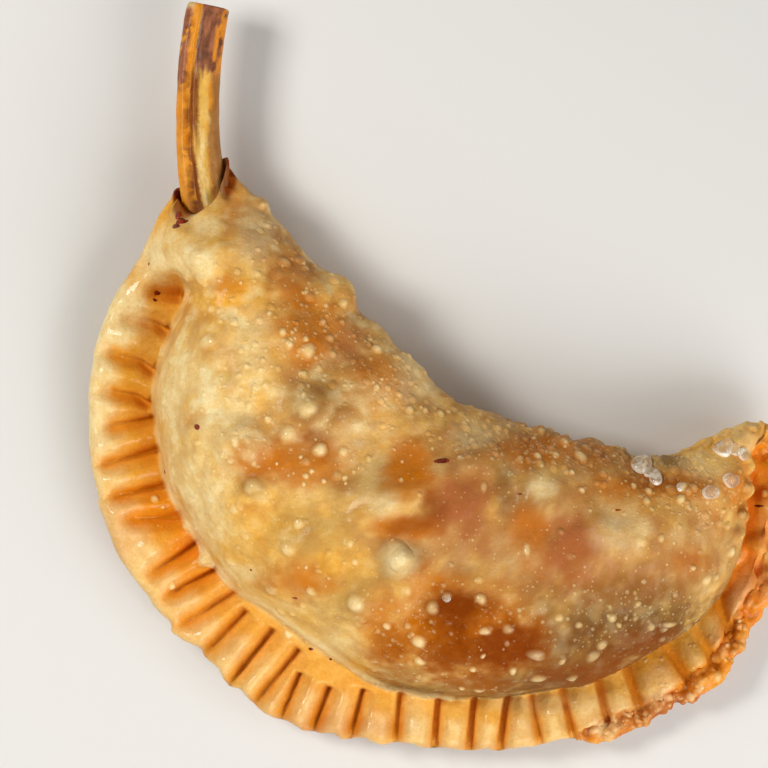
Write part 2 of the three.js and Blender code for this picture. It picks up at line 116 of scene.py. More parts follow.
class Dice:
    """A repeatable source of numbers from 0 to 1, the one that the solids were made with."""

    def __init__(self, seed: int) -> None:
        """Starts the row of numbers at a seed."""
        self.state = seed

    def roll(self) -> float:
        """The next number."""
        self.state = (self.state * 1664525 + 1013904223) % 2**32
        return self.state / 2**32


@dataclass(frozen=True)
class PhotoView:
    """Where the camera stands, and how its picture's pixels lie on the object."""

    px_per_mm: float = 4.85
    middle_px: float = PICTURE_PX / 2
    centre: tuple[float, float] = (-12.15, -1.7)
    distance: float = 900.0
    level: float = 18.0

    def pixels(self, points: Array) -> Array:
        """Picture places of points given in millimetres."""
        reach = self.distance / (self.distance + self.level - points[..., 2])
        across = (points[..., 0] - self.centre[0]) * reach * self.px_per_mm + self.middle_px
        down = self.middle_px - (points[..., 1] - self.centre[1]) * reach * self.px_per_mm
        return np.stack([across, down], axis=-1)

    def plan(self, places: Sequence[tuple[float, float]], height: float) -> Array:
        """Plan places, in millimetres, of picture places at a height."""
        off = np.array(places, float) - self.middle_px
        scale = (self.distance + self.level - height) / self.distance / self.px_per_mm
        return np.array(self.centre) + off * scale * np.array([1.0, -1.0])

    def eye(self) -> Vector:
        """Where the camera stands, in millimetres."""
        return Vector((*self.centre, self.distance + self.level))


VIEW = PhotoView()


@dataclass(frozen=True)
class Section:
    """One cross-section of the dough: places in plan, heights, then the belly wall's lean and roundness."""

    rim: tuple[float, float]
    crease: tuple[float, float]
    fold: tuple[float, float]
    crown: float
    back: float
    sole: float
    hem: float
    thick: float
    curl: float
    lean: float
    round: float


SECTIONS = many(
    Section,
    ((-56.5, 37.2), (-55.1, 36.8), (-45, 43.2), 20.2, 14.2, 8.2, 11.2, 5.6, 0, 62, 0.45),
    ((-61, 28.3), (-57.6, 27.2), (-37.6, 35.4), 24, 15, 5, 8, 5.8, 0, 58, 0.42),
    ((-67.2, 17.3), (-54.4, 16.2), (-30, 26.6), 29, 16, 1.5, 5.8, 5.4, 0, 74, 0.38),
    ((-73.2, -8.7), (-59.4, -7.6), (-13.4, 9.4), 34.5, 17, -1.6, 5.2, 5.4, 0, 78, 0.36),
    ((-63.4, -41.5), (-49.4, -33.6), (-0.6, -3.4), 36, 18, -1.8, 5, 5.4, 0, 80, 0.36),
    ((-41.6, -65.6), (-30.6, -52), (9.1, -7.2), 36.4, 18, -1.8, 5, 5.4, 0, 82, 0.36),
    ((-10.5, -76.4), (-9.6, -64), (19.4, -11), 36, 17.5, -1.8, 5, 5.2, 0, 80, 0.36),
    ((21.4, -75.8), (19.8, -64.2), (30.9, -14.2), 34.6, 17, -1.8, 4.8, 5, 0, 94, 0.38),
    ((46.6, -69.4), (41.6, -54.6), (43.2, -16.9), 31.4, 16, -1.6, 4.2, 5, 0.6, 106, 0.46),
    ((64.8, -52.4), (55.2, -42.6), (54, -13.6), 26, 13.5, -0.8, 3.6, 4.8, 2.4, 116, 0.52),
    ((72.8, -27.8), (61.2, -25.2), (61.4, -10.6), 19, 11, 1.4, 3.6, 4.6, 4.2, 112, 0.5),
    ((69.4, -11.2), (66.8, -12.2), (65.6, -9.8), 12, 9, 5, 5.6, 3.6, 2, 90, 0.42),
)


@dataclass(frozen=True)
class Bulge:
    """A bulge of the filling or a large blister: its place in plan, radius and height."""

    x: float
    y: float
    radius: float
    height: float


BULGES = many(
    Bulge,
    (-46.6, 23.9, 8.2, 2.6), (-21.9, 18.1, 4.4, 1.8), (-12.6, -0.6, 6.4, 1.5), (-27, -6.6, 4.4, 1.8),
    (-41.4, -13.8, 4.6, 1.5), (-38.6, -22.5, 3.2, 1.3), (-11.3, -26.2, 6.8, 2.4), (-8.5, -37.7, 4.2, 2.2),
    (-17.3, -47, 3.6, 1.5), (21.4, -22.5, 7, 1.6), (2, -22, 9, 1.6), (27, -35, 9, 1.5),
    (41, -33.4, 7, 1.4), (10, -50, 10, 1.6), (-29, -39.6, 8, 1.2), (-38, 4, 9, 1.2), (21, -56, 4, 1.2),
)


@dataclass(frozen=True)
class Groove:
    """One fork groove: its inner and outer ends in the picture, and what it presses.

    The widths, in pixels, are those of the slopes towards the mouth and away from it. The depths, in
    millimetres, are those at the inner and the outer end, and swell is how far the dough beside it rounds
    down to it. Flat is the bottom's share of the slopes, broad is the half width over which the ridges
    beside it round off, run_out is where it fades out past its outer end, and hook is how far its inner
    end turns away from the mouth, all three in pixels.
    """

    inner: tuple[float, float]
    outer: tuple[float, float]
    slopes: tuple[float, float]
    depths: tuple[float, float]
    swell: float = 1.2
    flat: float = 0.1
    broad: float = 17.0
    run_out: tuple[float, float] = (-12.0, 10.0)
    hook: float = 0.0

    def press(self, spot: Array) -> tuple[Array, ...]:
        """How far the groove presses.

        Args:
            spot: Picture places of the points.

        Returns:
            For each point the depth in millimetres, the groove's share of its full depth, how much of
            the rounding beside it reaches there, and how much of the painted shadow line on its steep side.
        """
        start, way = np.array(self.inner), np.subtract(self.outer, self.inner)
        length = float(np.hypot(*way))
        way = way / length
        off = spot - start
        along = off @ way
        side = off[..., 0] * way[1] - off[..., 1] * way[0]
        side = side + self.hook * (1 - ease(0, 18, along))
        share = clamp01(along / length)
        spread = np.where(side < 0, self.slopes[0], self.slopes[1]) * mix(0.85, 1.1, share)
        near = 1 - ease(self.flat, 1.0, abs(side) / spread)
        broad = 1 - ease(0.0, 1.0, abs(side) / self.broad)
        ends = ease(-3.5, 1.0, along) * (1 - ease(length + self.run_out[0], length + self.run_out[1], along))
        depth = mix(self.depths[0], self.depths[1], share)
        fade = mix(1.0, self.depths[1] / self.depths[0], share)
        swell = self.swell * mix(1.0, fade, 0.75)
        # The line is a painted shadow: a dark band along the steep side, under the overhanging edge, that
        # also deepens the groove a little.
        line = 1 - ease(0.5, 2.4, abs(side + 1.2 * np.sign(self.slopes[1] - self.slopes[0])))
        line = line * ends * fade * (self.flat < 0.2)
        return (depth * near + swell * broad + 0.4 * line) * ends, near * ends, broad * ends, line


UNDERCUT = (3.0, 12.0)
OVERCUT = (9.0, 4.0)
SHARP_CORNER = (12.0, 2.6)
KEY_GAP = (5.2, 5.2)
OPEN_END = (4.0, 20.0)

GROOVES = (
    Groove((180, 295), (150, 291), (13, 13), (2.6, 0.8), 1.4, 0.15, 20, (-8, 12)),
    Groove((169, 326), (118, 315), UNDERCUT, (2.2, 0.25), 1.9, hook=-4),
    Groove((155, 365), (103, 351), UNDERCUT, (2.2, 0.3), 2.0, hook=-5),
    Groove((150, 398), (96, 388), UNDERCUT, (2.2, 0.25), 2.0, hook=-5),
    Groove((152, 418), (102, 428), (6, 10), (2.0, 0.25), 1.6),
    Groove((157, 450), (96, 466), OVERCUT, (2.2, 0.25), 2.0),
    Groove((163, 486), (108, 498), OVERCUT, (2.2, 0.3), 1.9),
    Groove((180, 516), (124, 520), (9, 7), (2.0, 0.3), 1.6),
    Groove((197, 542), (148, 576), (6, 9), (2.2, 0.4), 1.9),
    Groove((215, 569), (164, 598), (6, 8), (2.1, 0.4), 1.8),
    Groove((235, 592), (178, 626), (8, 6), (1.4, 0.5), 1.7),
    Groove((246, 612), (204, 656), SHARP_CORNER, (1.7, 1.0), 1.9, run_out=OPEN_END),
    Groove((273, 631), (231, 683), SHARP_CORNER, (2.0, 1.4), 1.9, run_out=OPEN_END),
    Groove((299, 651), (258, 700), SHARP_CORNER, (1.9, 1.1), 1.8, run_out=OPEN_END),
    Groove((300, 674), (281, 717), (10, 3), (1.9, 1.2), 1.7, run_out=OPEN_END),
    Groove((329, 688), (313, 729), (9, 3.5), (1.8, 1.4), 1.6, run_out=OPEN_END),
    Groove((362, 690), (350, 736), (4, 7), (1.9, 1.5), 1.4, run_out=OPEN_END),
    Groove((399, 692), (394, 742), (3.5, 9), (1.9, 1.6), 1.3, run_out=OPEN_END),
    Groove((438, 695), (434, 743), KEY_GAP, (2.4, 2.2), 1.2, 0.45, 15, OPEN_END),
    Groove((474, 695), (469, 744), KEY_GAP, (2.4, 2.2), 1.2, 0.45, 15, OPEN_END),
    Groove((507, 695), (500, 745), KEY_GAP, (2.4, 2.2), 1.2, 0.45, 15, OPEN_END),
    Groove((531, 695), (541, 743), (8, 3), (1.4, 1.5), 0.8, 0.1, 14, OPEN_END),
    Groove((561, 689), (572, 733), KEY_GAP, (2.5, 2.2), 1.3, 0.4, 15, OPEN_END),
    Groove((596, 678), (606, 716), KEY_GAP, (2.6, 2.3), 1.3, 0.4, 15, OPEN_END),
    Groove((622, 660), (638, 704), (5.5, 6), (2.7, 2.4), 1.6, 0.3, 17, OPEN_END),
    Groove((660, 640), (684, 673), (6, 6), (2.7, 2.4), 1.7, 0.3, 19, OPEN_END),
    Groove((690, 624), (709, 653), (6, 6), (2.6, 2.2), 1.6, 0.25, 17, OPEN_END),
    Groove((716, 594), (728, 632), (6, 6), (2.4, 1.8), 1.4, 0.2, 16, OPEN_END),
)

RIM_EDGE = (
    (172, 199), (160, 215), (150, 235), (140, 257), (128, 274), (117, 290), (108, 309), (101, 325),
    (95, 345), (92, 362), (90, 380), (88, 400), (88, 440), (90, 462), (93, 480), (98, 496), (98, 505),
    (103, 517), (112, 545), (120, 560), (135, 581), (146, 593), (153, 607), (163, 616), (171, 622),
    (170, 631), (180, 639), (200, 648), (203, 658), (218, 667), (223, 680), (229, 687), (240, 689),
    (250, 702), (258, 710), (272, 717), (290, 722), (302, 731), (318, 734), (334, 733), (341, 740),
    (362, 737), (374, 743), (382, 745), (395, 742), (412, 743), (421, 748), (445, 748), (470, 752),
    (486, 749), (497, 753), (507, 749), (520, 747), (542, 745), (560, 739), (578, 739), (594, 742),
    (620, 738), (640, 725), (658, 717), (672, 707), (693, 702), (704, 692), (719, 683), (731, 668),
    (739, 652), (745, 637), (755, 622), (767, 606), (780, 590),
)

BELLY_EDGE = (
    (188, 292), (171, 329), (157, 366), (152, 398), (154, 416), (159, 450), (165, 484), (181, 513),
    (198, 541), (217, 569), (238, 592), (270, 613), (306, 642), (331, 656), (367, 680), (384, 687),
    (420, 695), (445, 698), (500, 697), (545, 689), (595, 681), (625, 664), (655, 643), (683, 633),
    (702, 607), (728, 578), (738, 556), (743, 500), (748, 470), (747, 445),
)

FOOT_RIDGE = (
    (196, 541), (214, 567), (234, 590), (262, 604), (290, 624), (320, 645), (345, 663), (366, 679),
    (386, 688), (420, 695), (450, 698),
)

KEY_ENDS = (
    (570, 741), (580, 733), (604, 719), (622, 712), (640, 707), (660, 697), (674, 687), (690, 674),
    (702, 664), (711, 653), (722, 640), (731, 625), (738, 605),
)


@dataclass(frozen=True)
class Lump:
    """A lump that stands out near a place in the picture: its radius and height in millimetres."""

    px: float
    py: float
    radius: float
    height: float


LUMPS = many(
    Lump,
    (230, 172, 1.2, -0.7), (229, 182, 1.4, -1.0), (226, 193, 1.3, -0.8), (262, 205, 2.4, 1.3),
    (292, 252, 3.4, 0.7), (345, 292, 4.6, 1.6), (377, 333, 4.4, 0.9), (415, 362, 4.0, 0.6),
    (441, 397, 3.4, 0.6), (541, 432, 2.4, 0.9), (566, 441, 2.8, 0.8), (589, 443, 3.2, 1.5),
    (617, 454, 3.6, 0.9), (662, 463, 3.8, 0.8), (306, 410, 5.6, 1.0), (388, 505, 4.8, 1.2),
    (400, 561, 3.0, 0.5), (544, 488, 5.4, 1.1), (245, 446, 6.0, 1.2), (200, 258, 5.2, 1.2),
    (172, 246, 5.0, 0.9), (157, 262, 3.4, 0.8), (140, 283, 3.2, 0.8), (126, 305, 3.6, 0.7),
    (130, 338, 3.8, 0.9), (110, 372, 3.6, 0.8), (106, 405, 3.0, 0.6), (108, 446, 3.4, 0.7),
    (116, 480, 3.2, 0.7), (120, 510, 3.4, 0.7), (150, 548, 3.0, 0.8), (192, 602, 3.6, 0.9),
    (203, 560, 2.6, 1.0), (656, 678, 5.0, 0.7), (684, 654, 4.0, 0.5), (746, 466, 2.2, 1.8),
    (744, 490, 2.2, 1.9), (741, 515, 2.0, 1.7), (737, 533, 1.8, 1.5), (733, 554, 2.4, 1.8),
    (757, 545, 2.6, 0.9), (763, 500, 2.2, 0.8), (755, 590, 2.8, 0.9), (735, 600, 3.2, 0.7),
)


def crossing(start: Array, way: Array, line: Array) -> Array:
    """Distances from points to where they first cross a line.

    Args:
        start: Plan places of the points.
        way: Unit direction that each looks in.
        line: Corners of the line.

    Returns:
        The distance for each point, or infinity where nothing is crossed.
    """
    a, leg = line[None, :-1], (line[1:] - line[:-1])[None]
    off = a - start[:, None]
    look = way[:, None]
    turn = look[..., 0] * leg[..., 1] - look[..., 1] * leg[..., 0]
    turn = np.where(abs(turn) < 1e-9, 1e-9, turn)
    reach = (off[..., 0] * leg[..., 1] - off[..., 1] * leg[..., 0]) / turn
    place = (off[..., 0] * look[..., 1] - off[..., 1] * look[..., 0]) / turn
    hit = (reach > 0) & (place >= 0) & (place <= 1)
    return np.where(hit, reach, np.inf).min(axis=1)


def beside_line(spot: Array, line: Sequence[tuple[float, float]]) -> Array:
    """Distances of places of the picture from a line through places of the picture, in pixels."""
    corners = np.array(line, float)
    nearest = np.full(spot.shape[:-1], np.inf)
    for start, end in zip(corners[:-1], corners[1:]):
        way = end - start
        share = clamp01(((spot - start) @ way) / (way @ way))
        nearest = np.minimum(nearest, np.linalg.norm(spot - start - share[..., None] * way, axis=-1))
    return nearest


def settle(values: Array, most: float, kernel: int = 5) -> Array:
    """Fills gaps in a row of values from their neighbours and evens it out.

    Args:
        values: The row, with infinite values where nothing is known.
        most: Size above which a value counts as unknown.
        kernel: How many neighbours are averaged.

    Returns:
        The filled and evened row.
    """
    known = np.isfinite(values) & (abs(values) < most)
    if known.sum() < 2:
        return np.zeros(len(values))
    index = np.arange(len(values))
    filled = np.interp(index, index[known], values[known])
    wide = np.pad(filled, kernel // 2, mode="edge")
    return np.convolve(wide, np.ones(kernel) / kernel, mode="valid")


@dataclass
class Rows:
    """What the skin needs along the dough: one entry for each place u, ready to spread round the section."""

    rim: Array
    crease: Array
    fold: Array
    inward: Array
    out_of_fold: Array
    width: Array
    reach: Array
    lip: Array
    lip_width: Array
    wave: Array
    rounding: Array
    size: dict[str, Array]


Profile = tuple[Array, Array]


def bezier(a: Profile, b: Profile, c: Profile, d: Profile, f: Array) -> Profile:
    """A cubic curve through a and d, drawn towards b and c."""
    g = 1 - f
    weights = (g**3, 3 * g * g * f, 3 * g * f * f, f**3)
    ends = (a, b, c, d)
    return (
        sum(w * p[0] for w, p in zip(weights, ends)),
        sum(w * p[1] for w, p in zip(weights, ends)),
    )


@dataclass
class DoughForm:
    """The dough's skin as the solids have it, with its rim drawn to the edges that the picture shows.

    u runs along it from the mouth, and q round it in seven zones.
    """

    edge_rounding: float = 0.42
    edge_wave: float = 0.45
    lip_drop: float = 1.7
    apex_place: float = 0.46
    wall_pull: float = 0.6
    back_shoulder: float = 0.62
    sole_place: float = 0.5
    sole_turn: float = 0.62
    sole_rise: float = 0.22
    cross_pull: float = 0.85
    thinnest_rim: float = 1.4
    mouth_dip: float = 5.2
    mouth_dip_reach: float = 0.15
    probe: float = 1e-3
    edge_height: float = 8.0
    foot_height: float = 10.0
    most_change: float = 2.6
    most_rim: float = 20.0
    look_from: float = 6.0
    bulge_reach: float = 1.45
    blister_seed: int = 20417
    blister_count: int = 34
    blister_along: tuple[float, float] = (0.14, 0.97)
    blister_around: tuple[float, float] = (2.25, 3.4)
    blister_radius: tuple[float, float] = (2.9, 4.2)
    blister_rise: float = 0.2
    blister_reach: float = 1.3

    def __post_init__(self) -> None:
        """Measures the crease."""
        self.table = np.array([np.hstack(astuple(section)) for section in SECTIONS])
        crease = self.blend(np.linspace(0, 1, 601))[:, 2:4]
        steps = np.linalg.norm(np.diff(crease, axis=0), axis=1)
        self.lengths = np.concatenate([[0.0], np.cumsum(steps)])

    def blend(self, u: Array) -> Array:
        """Sizes of the sections at u, on smooth curves through the given ones."""
        last = len(self.table) - 1
        place = clamp01(u) * last
        k = np.minimum(np.floor(place).astype(int), last - 1)
        f = (place - k)[:, None]
        a, b, c, d = (self.table[np.clip(k + i, 0, last)] for i in (-1, 0, 1, 2))
        slope_in, slope_out = (c - a) / 2, (d - b) / 2
        cubic = (2 * b - 2 * c + slope_in + slope_out) * f**3
        return cubic + (-3 * b + 3 * c - 2 * slope_in - slope_out) * f**2 + slope_in * f + b

    def length_at(self, u: Array) -> Array:
        """Length along the crease at u."""
        return np.interp(clamp01(u), np.linspace(0, 1, len(self.lengths)), self.lengths)

    def place_at(self, length: Array) -> Array:
        """The u at a length along the crease."""
        return np.interp(length, self.lengths, np.linspace(0, 1, len(self.lengths)))

    def shown_foot(self, crease: Array, inward: Array, u: Array) -> Array:
        """How far out of the crease the picture shows the belly's foot."""
        seen = crossing(crease + inward * self.look_from, -inward, VIEW.plan(BELLY_EDGE, self.foot_height))
        out = settle(seen - self.look_from, self.most_change)
        return out * ease(0.12, 0.18, u) * (1 - ease(0.95, 1.0, u))

    def rows(self, u: Array) -> Rows:
        """Works out everything that the zones need at each u."""
        t = self.blend(u)
        crease, fold = t[:, 2:4], t[:, 4:6]
        ahead = self.blend(np.minimum(1, u + self.probe))[:, 4:6]
        along = ahead - self.blend(np.maximum(0, u - self.probe))[:, 4:6]
        along /= np.linalg.norm(along, axis=1, keepdims=True)
        inward = crease - t[:, 0:2]
        plain = np.linalg.norm(inward, axis=1)
        inward = inward / plain[:, None]
        foot = self.shown_foot(crease, inward, u)
        crease, plain = crease - inward * foot[:, None], plain - foot
        edge = crossing(crease, -inward, VIEW.plan(RIM_EDGE, self.edge_height)) - plain
        width = plain + settle(edge, self.most_change, 3) * (1 - ease(0.93, 0.96, u))
        ends = settle(crossing(crease, -inward, VIEW.plan(KEY_ENDS, self.foot_height)), self.most_rim)
        in_lip = ease(0.60, 0.61, u) * (1 - ease(0.885, 0.9, u)) * (ends < width - 0.8)
        length = self.length_at(u)
        wave = np.sin(length * 0.21) + 0.6 * np.sin(length * 0.47 + 1.3)
        names = ("crown", "back", "sole", "hem", "thick", "curl", "lean", "round")
        size = {name: t[:, 6 + i, None] for i, name in enumerate(names)}
        return Rows(
            rim=(crease - inward * width[:, None])[:, None, :],
            crease=crease[:, None, :],
            fold=fold[:, None, :],
            inward=inward[:, None, :],
            out_of_fold=np.stack([-along[:, 1], along[:, 0]], axis=1)[:, None, :],
            width=width[:, None],
            reach=np.linalg.norm(fold - crease, axis=1, keepdims=True),
            lip=in_lip[:, None],
            lip_width=np.maximum(width - ends, 0.0)[:, None],
            wave=(self.edge_wave * wave)[:, None],
            rounding=np.minimum(self.edge_rounding * size["thick"], 0.3 * width[:, None]),
            size=size,
        )

    def hem_height(self, s: Rows, share: Array) -> Array:
        """Height of the rim's underside at a share of the way in."""
        out = 1 - share
        return s.size["hem"] + s.wave * out + s.size["curl"] * out**1.6

    def rim_height(self, s: Rows, share: Array) -> Array:
        """Height of the rim's top at a share of the way in."""
        body = s.size["thick"] * mix(1, 0.8, ease(0.45, 1, share))
        on_lip = s.lip * (1 - ease(-0.5, 0.5, share * s.width - s.lip_width))
        under = self.hem_height(s, share)
        return np.maximum(under + self.thinnest_rim, under + body - self.lip_drop * on_lip)

    def rounding_zone(self, s: Rows, f: Array) -> Profile:
        """Outer rounding of the rim, from its underside to its top."""
        turn = (f - 0.5) * math.pi
        high = self.rim_height(s, s.rounding / s.width)
        across = s.rounding * (1 - np.cos(turn)) - s.width
        return across, mix(self.hem_height(s, 0), high, 0.5 + 0.5 * np.sin(turn))

    def rim_zone(self, s: Rows, f: Array) -> Profile:
        """Top of the rim, in to the crease."""
        share = mix(s.rounding / s.width, 1, f)
        return (share - 1) * s.width, self.rim_height(s, share)

    def wall_zone(self, s: Rows, f: Array) -> Profile:
        """Wall of the belly, from the crease up to the crown."""
        foot = self.rim_height(s, np.ones_like(s.width))
        pull = self.wall_pull * (s.size["crown"] - foot)
        lean = np.radians(s.size["lean"])
        out = (pull * np.cos(lean), foot + pull * np.sin(lean))
        apex = (self.apex_place * s.reach, s.size["crown"])
        return bezier((0 * foot, foot), out, (apex[0] * s.size["round"], apex[1]), apex, f)

    def back_zone(self, s: Rows, f: Array) -> Profile:
        """Back of the belly, from the crown round to the folded back."""
        apex = (self.apex_place * s.reach, s.size["crown"])
        shoulder = (mix(apex[0], s.reach, self.back_shoulder), s.size["crown"])
        turn_down = (s.reach, mix(s.size["back"], s.size["crown"], 0.5))
        return bezier(apex, shoulder, turn_down, (s.reach, s.size["back"]), f)

    def under_zone(self, s: Rows, f: Array) -> Profile:
        """Underside, from the folded back in to the sole."""
        low = (self.sole_place * s.reach, s.size["sole"])
        turn_in = (s.reach, mix(s.size["back"], s.size["sole"], self.sole_turn))
        level = (mix(low[0], s.reach, 0.55), s.size["sole"])
        return bezier((s.reach, s.size["back"]), turn_in, level, low, f)

    def sole_zone(self, s: Rows, f: Array) -> Profile:
        """Underside, from the sole out to the crease."""
        low = (self.sole_place * s.reach, s.size["sole"])
        under = self.hem_height(s, np.ones_like(s.width))
        rising = (low[0] * self.sole_rise, mix(under, s.size["sole"], 0.55))
        return bezier(low, (low[0] * 0.5, s.size["sole"]), rising, (0 * under, under), f)

    def hem_zone(self, s: Rows, f: Array) -> Profile:
        """Underside of the rim, out to its edge."""
        return -f * s.width, self.hem_height(s, 1 - f)

    def in_plan(self, s: Rows, across: Array) -> Array:
        """Plan places at distances in from the crease, where negative ones lie over the rim."""
        f = (np.maximum(across, 0) / s.reach)[..., None]
        pull = self.cross_pull * s.reach[..., None]
        curved = (2 * f**3 - 3 * f**2 + 1) * s.crease + (f**3 - 2 * f**2 + f) * pull * s.inward
        curved = curved + (3 * f**2 - 2 * f**3) * s.fold + (f**3 - f**2) * pull * s.out_of_fold
        straight = s.crease + across[..., None] * s.inward
        return np.where(across[..., None] <= 0, straight, curved)

    def skin(self, u: Array, q: Array) -> Array:
        """The skin without its bulges.

        Args:
            u: Places along the dough.
            q: Places round the section, from 0 up to 7.

        Returns:
            Points in millimetres, one row for each u and one column for each q.
        """
        s = self.rows(u)
        zones: Sequence[Callable[[Rows, Array], Profile]] = (
            self.rounding_zone, self.rim_zone, self.wall_zone, self.back_zone,
            self.under_zone, self.sole_zone, self.hem_zone,
        )
        across = np.zeros((len(u), len(q)))
        height = np.zeros_like(across)
        which = np.floor(q).astype(int)
        for k, zone in enumerate(zones):
            here = which == k
            if here.any():
                across[:, here], height[:, here] = zone(s, (q[here] - k)[None, :])
        plan = self.in_plan(s, across)
        front = ease(0.1, 0.9, (height - s.size["back"]) / (s.size["crown"] - s.size["back"]))
        dip = self.mouth_dip * (1 - ease(0, self.mouth_dip_reach, u))[:, None] * front
        return np.stack([plan[..., 0], plan[..., 1] - dip, height], axis=-1)

    def blisters(self) -> Iterator[tuple[Array, float]]:
        """The larger blisters of the solids: centre and radius of each."""
        dice = Dice(self.blister_seed)
        first, span = self.blister_around
        for _ in range(self.blister_count):
            u = mix(*self.blister_along, dice.roll())
            q = first + span * dice.roll()
            radius = mix(*self.blister_radius, dice.roll() ** 2)
            yield self.skin(np.array([u]), np.array([q]))[0, 0], radius

    def relief(self, points: Array, q: Array) -> Array:
        """How far the bulges and larger blisters stand out at points of the skin."""
        shown = ease(2.05, 2.3, q) * (1 - ease(3.9, 4.2, q)) * ((q > 2) & (q < 4.2))
        out = np.zeros(points.shape[:-1])
        for b in BULGES:
            off = np.hypot(points[..., 0] - b.x, points[..., 1] - b.y)
            out += shown * b.height * swelling(off / (self.bulge_reach * b.radius))
        for centre, radius in self.blisters():
            off = np.linalg.norm(points - centre, axis=-1)
            out += self.blister_rise * radius * swelling(off / (self.blister_reach * radius))
        return out


@dataclass(frozen=True)
class BoneForm:
    """The rib bone as the solids have it: an arc in plan, with grooves along its faces, in millimetres."""

    bend_radius: float = 110.0
    centre: tuple[float, float, float] = (59.1, 54.5, 14.2)
    start: float = math.radians(168.4)
    length: float = 52.0
    half_width: float = 4.4
    root_widening: float = 0.35
    half_thickness: float = 3.3
    squareness: float = 2.5
    groove: tuple[float, float, float] = (math.radians(124), math.radians(13), 0.75)
    under_groove: tuple[float, float, float] = (math.radians(268), math.radians(30), 0.45)
    socket_gap: float = 0.3
    mouth_gap: float = 1.15
    mouth: float = 37.6
    lip_sway: tuple[float, float, float] = (2.9, 4.3, 1.9)

    def axis(self, distance: Array) -> tuple[Array, Array]:
        """Centre-line points at distances from the sawn end, and the directions across the bone there."""
        turn = self.start + np.asarray(distance, float) / self.bend_radius
        across = np.stack([-np.cos(turn), -np.sin(turn), 0 * turn], axis=-1)
        return np.array(self.centre) - across * self.bend_radius, across

    def radius(self, angle: Array, distance: Array) -> Array:
        """Radius of the section at angles from the inner side."""
        width = self.half_width + self.root_widening * ease(20, 40, distance)
        across = abs(np.cos(angle)) / width
        up = abs(np.sin(angle)) / self.half_thickness
        made = (across**self.squareness + up**self.squareness) ** (-1 / self.squareness)
        for at, spread, depth in (self.groove, self.under_groove):
            off = apart(angle, at) / spread
            made = made - depth * np.exp(-off * off)
        return made

    def around(self, distance: Array, angle: Array, clearance: Array) -> Array:
        """Points at distances along, angles round and a clearance off the bone."""
        point, across = self.axis(distance)
        radius = (self.radius(angle, distance) + clearance)[..., None]
        point = point + across * radius * np.cos(angle)[..., None]
        point[..., 2] += radius[..., 0] * np.sin(angle)
        return point

    def lip(self, angle: Array) -> Array:
        """Distance of the mouth's lip from the sawn end, round the bone."""
        inward, upward, twice = self.lip_sway
        level = self.mouth - inward * np.cos(angle) + upward * np.sin(angle)
        return level - twice * np.cos(2 * angle)


class Tint(Enum):
    """Colour fields of the dough, each kept as a mesh attribute."""

    GOLD = "gold"
    AMBER = "amber"
    BROWN = "brown"
    MEAT = "meat"
    # Olive grey, used mostly as painted shade.
    GREY = "grey"
    # Paler dough; in places also painted highlights.
    PALE = "pale"
    TAN = "tan"
    ORANGE = "orange"
    RUST = "rust"
    PIMPLES = "pimples"
    # Deeper orange in the fork grooves, partly painted shade.
    CREVICE = "crevice"
    OIL = "oil"


@dataclass(frozen=True)
class Patch:
    """A soft patch of colour: its picture place and half sizes in pixels, and how strong it is."""

    px: float
    py: float
    rx: float
    ry: float
    strength: float


def patch_groups(groups: dict[Tint, tuple]) -> dict[Tint, tuple[Patch, ...]]:
    """The patches of each colour field, from rows of their values."""
    return {tint: many(Patch, *rows) for tint, rows in groups.items()}
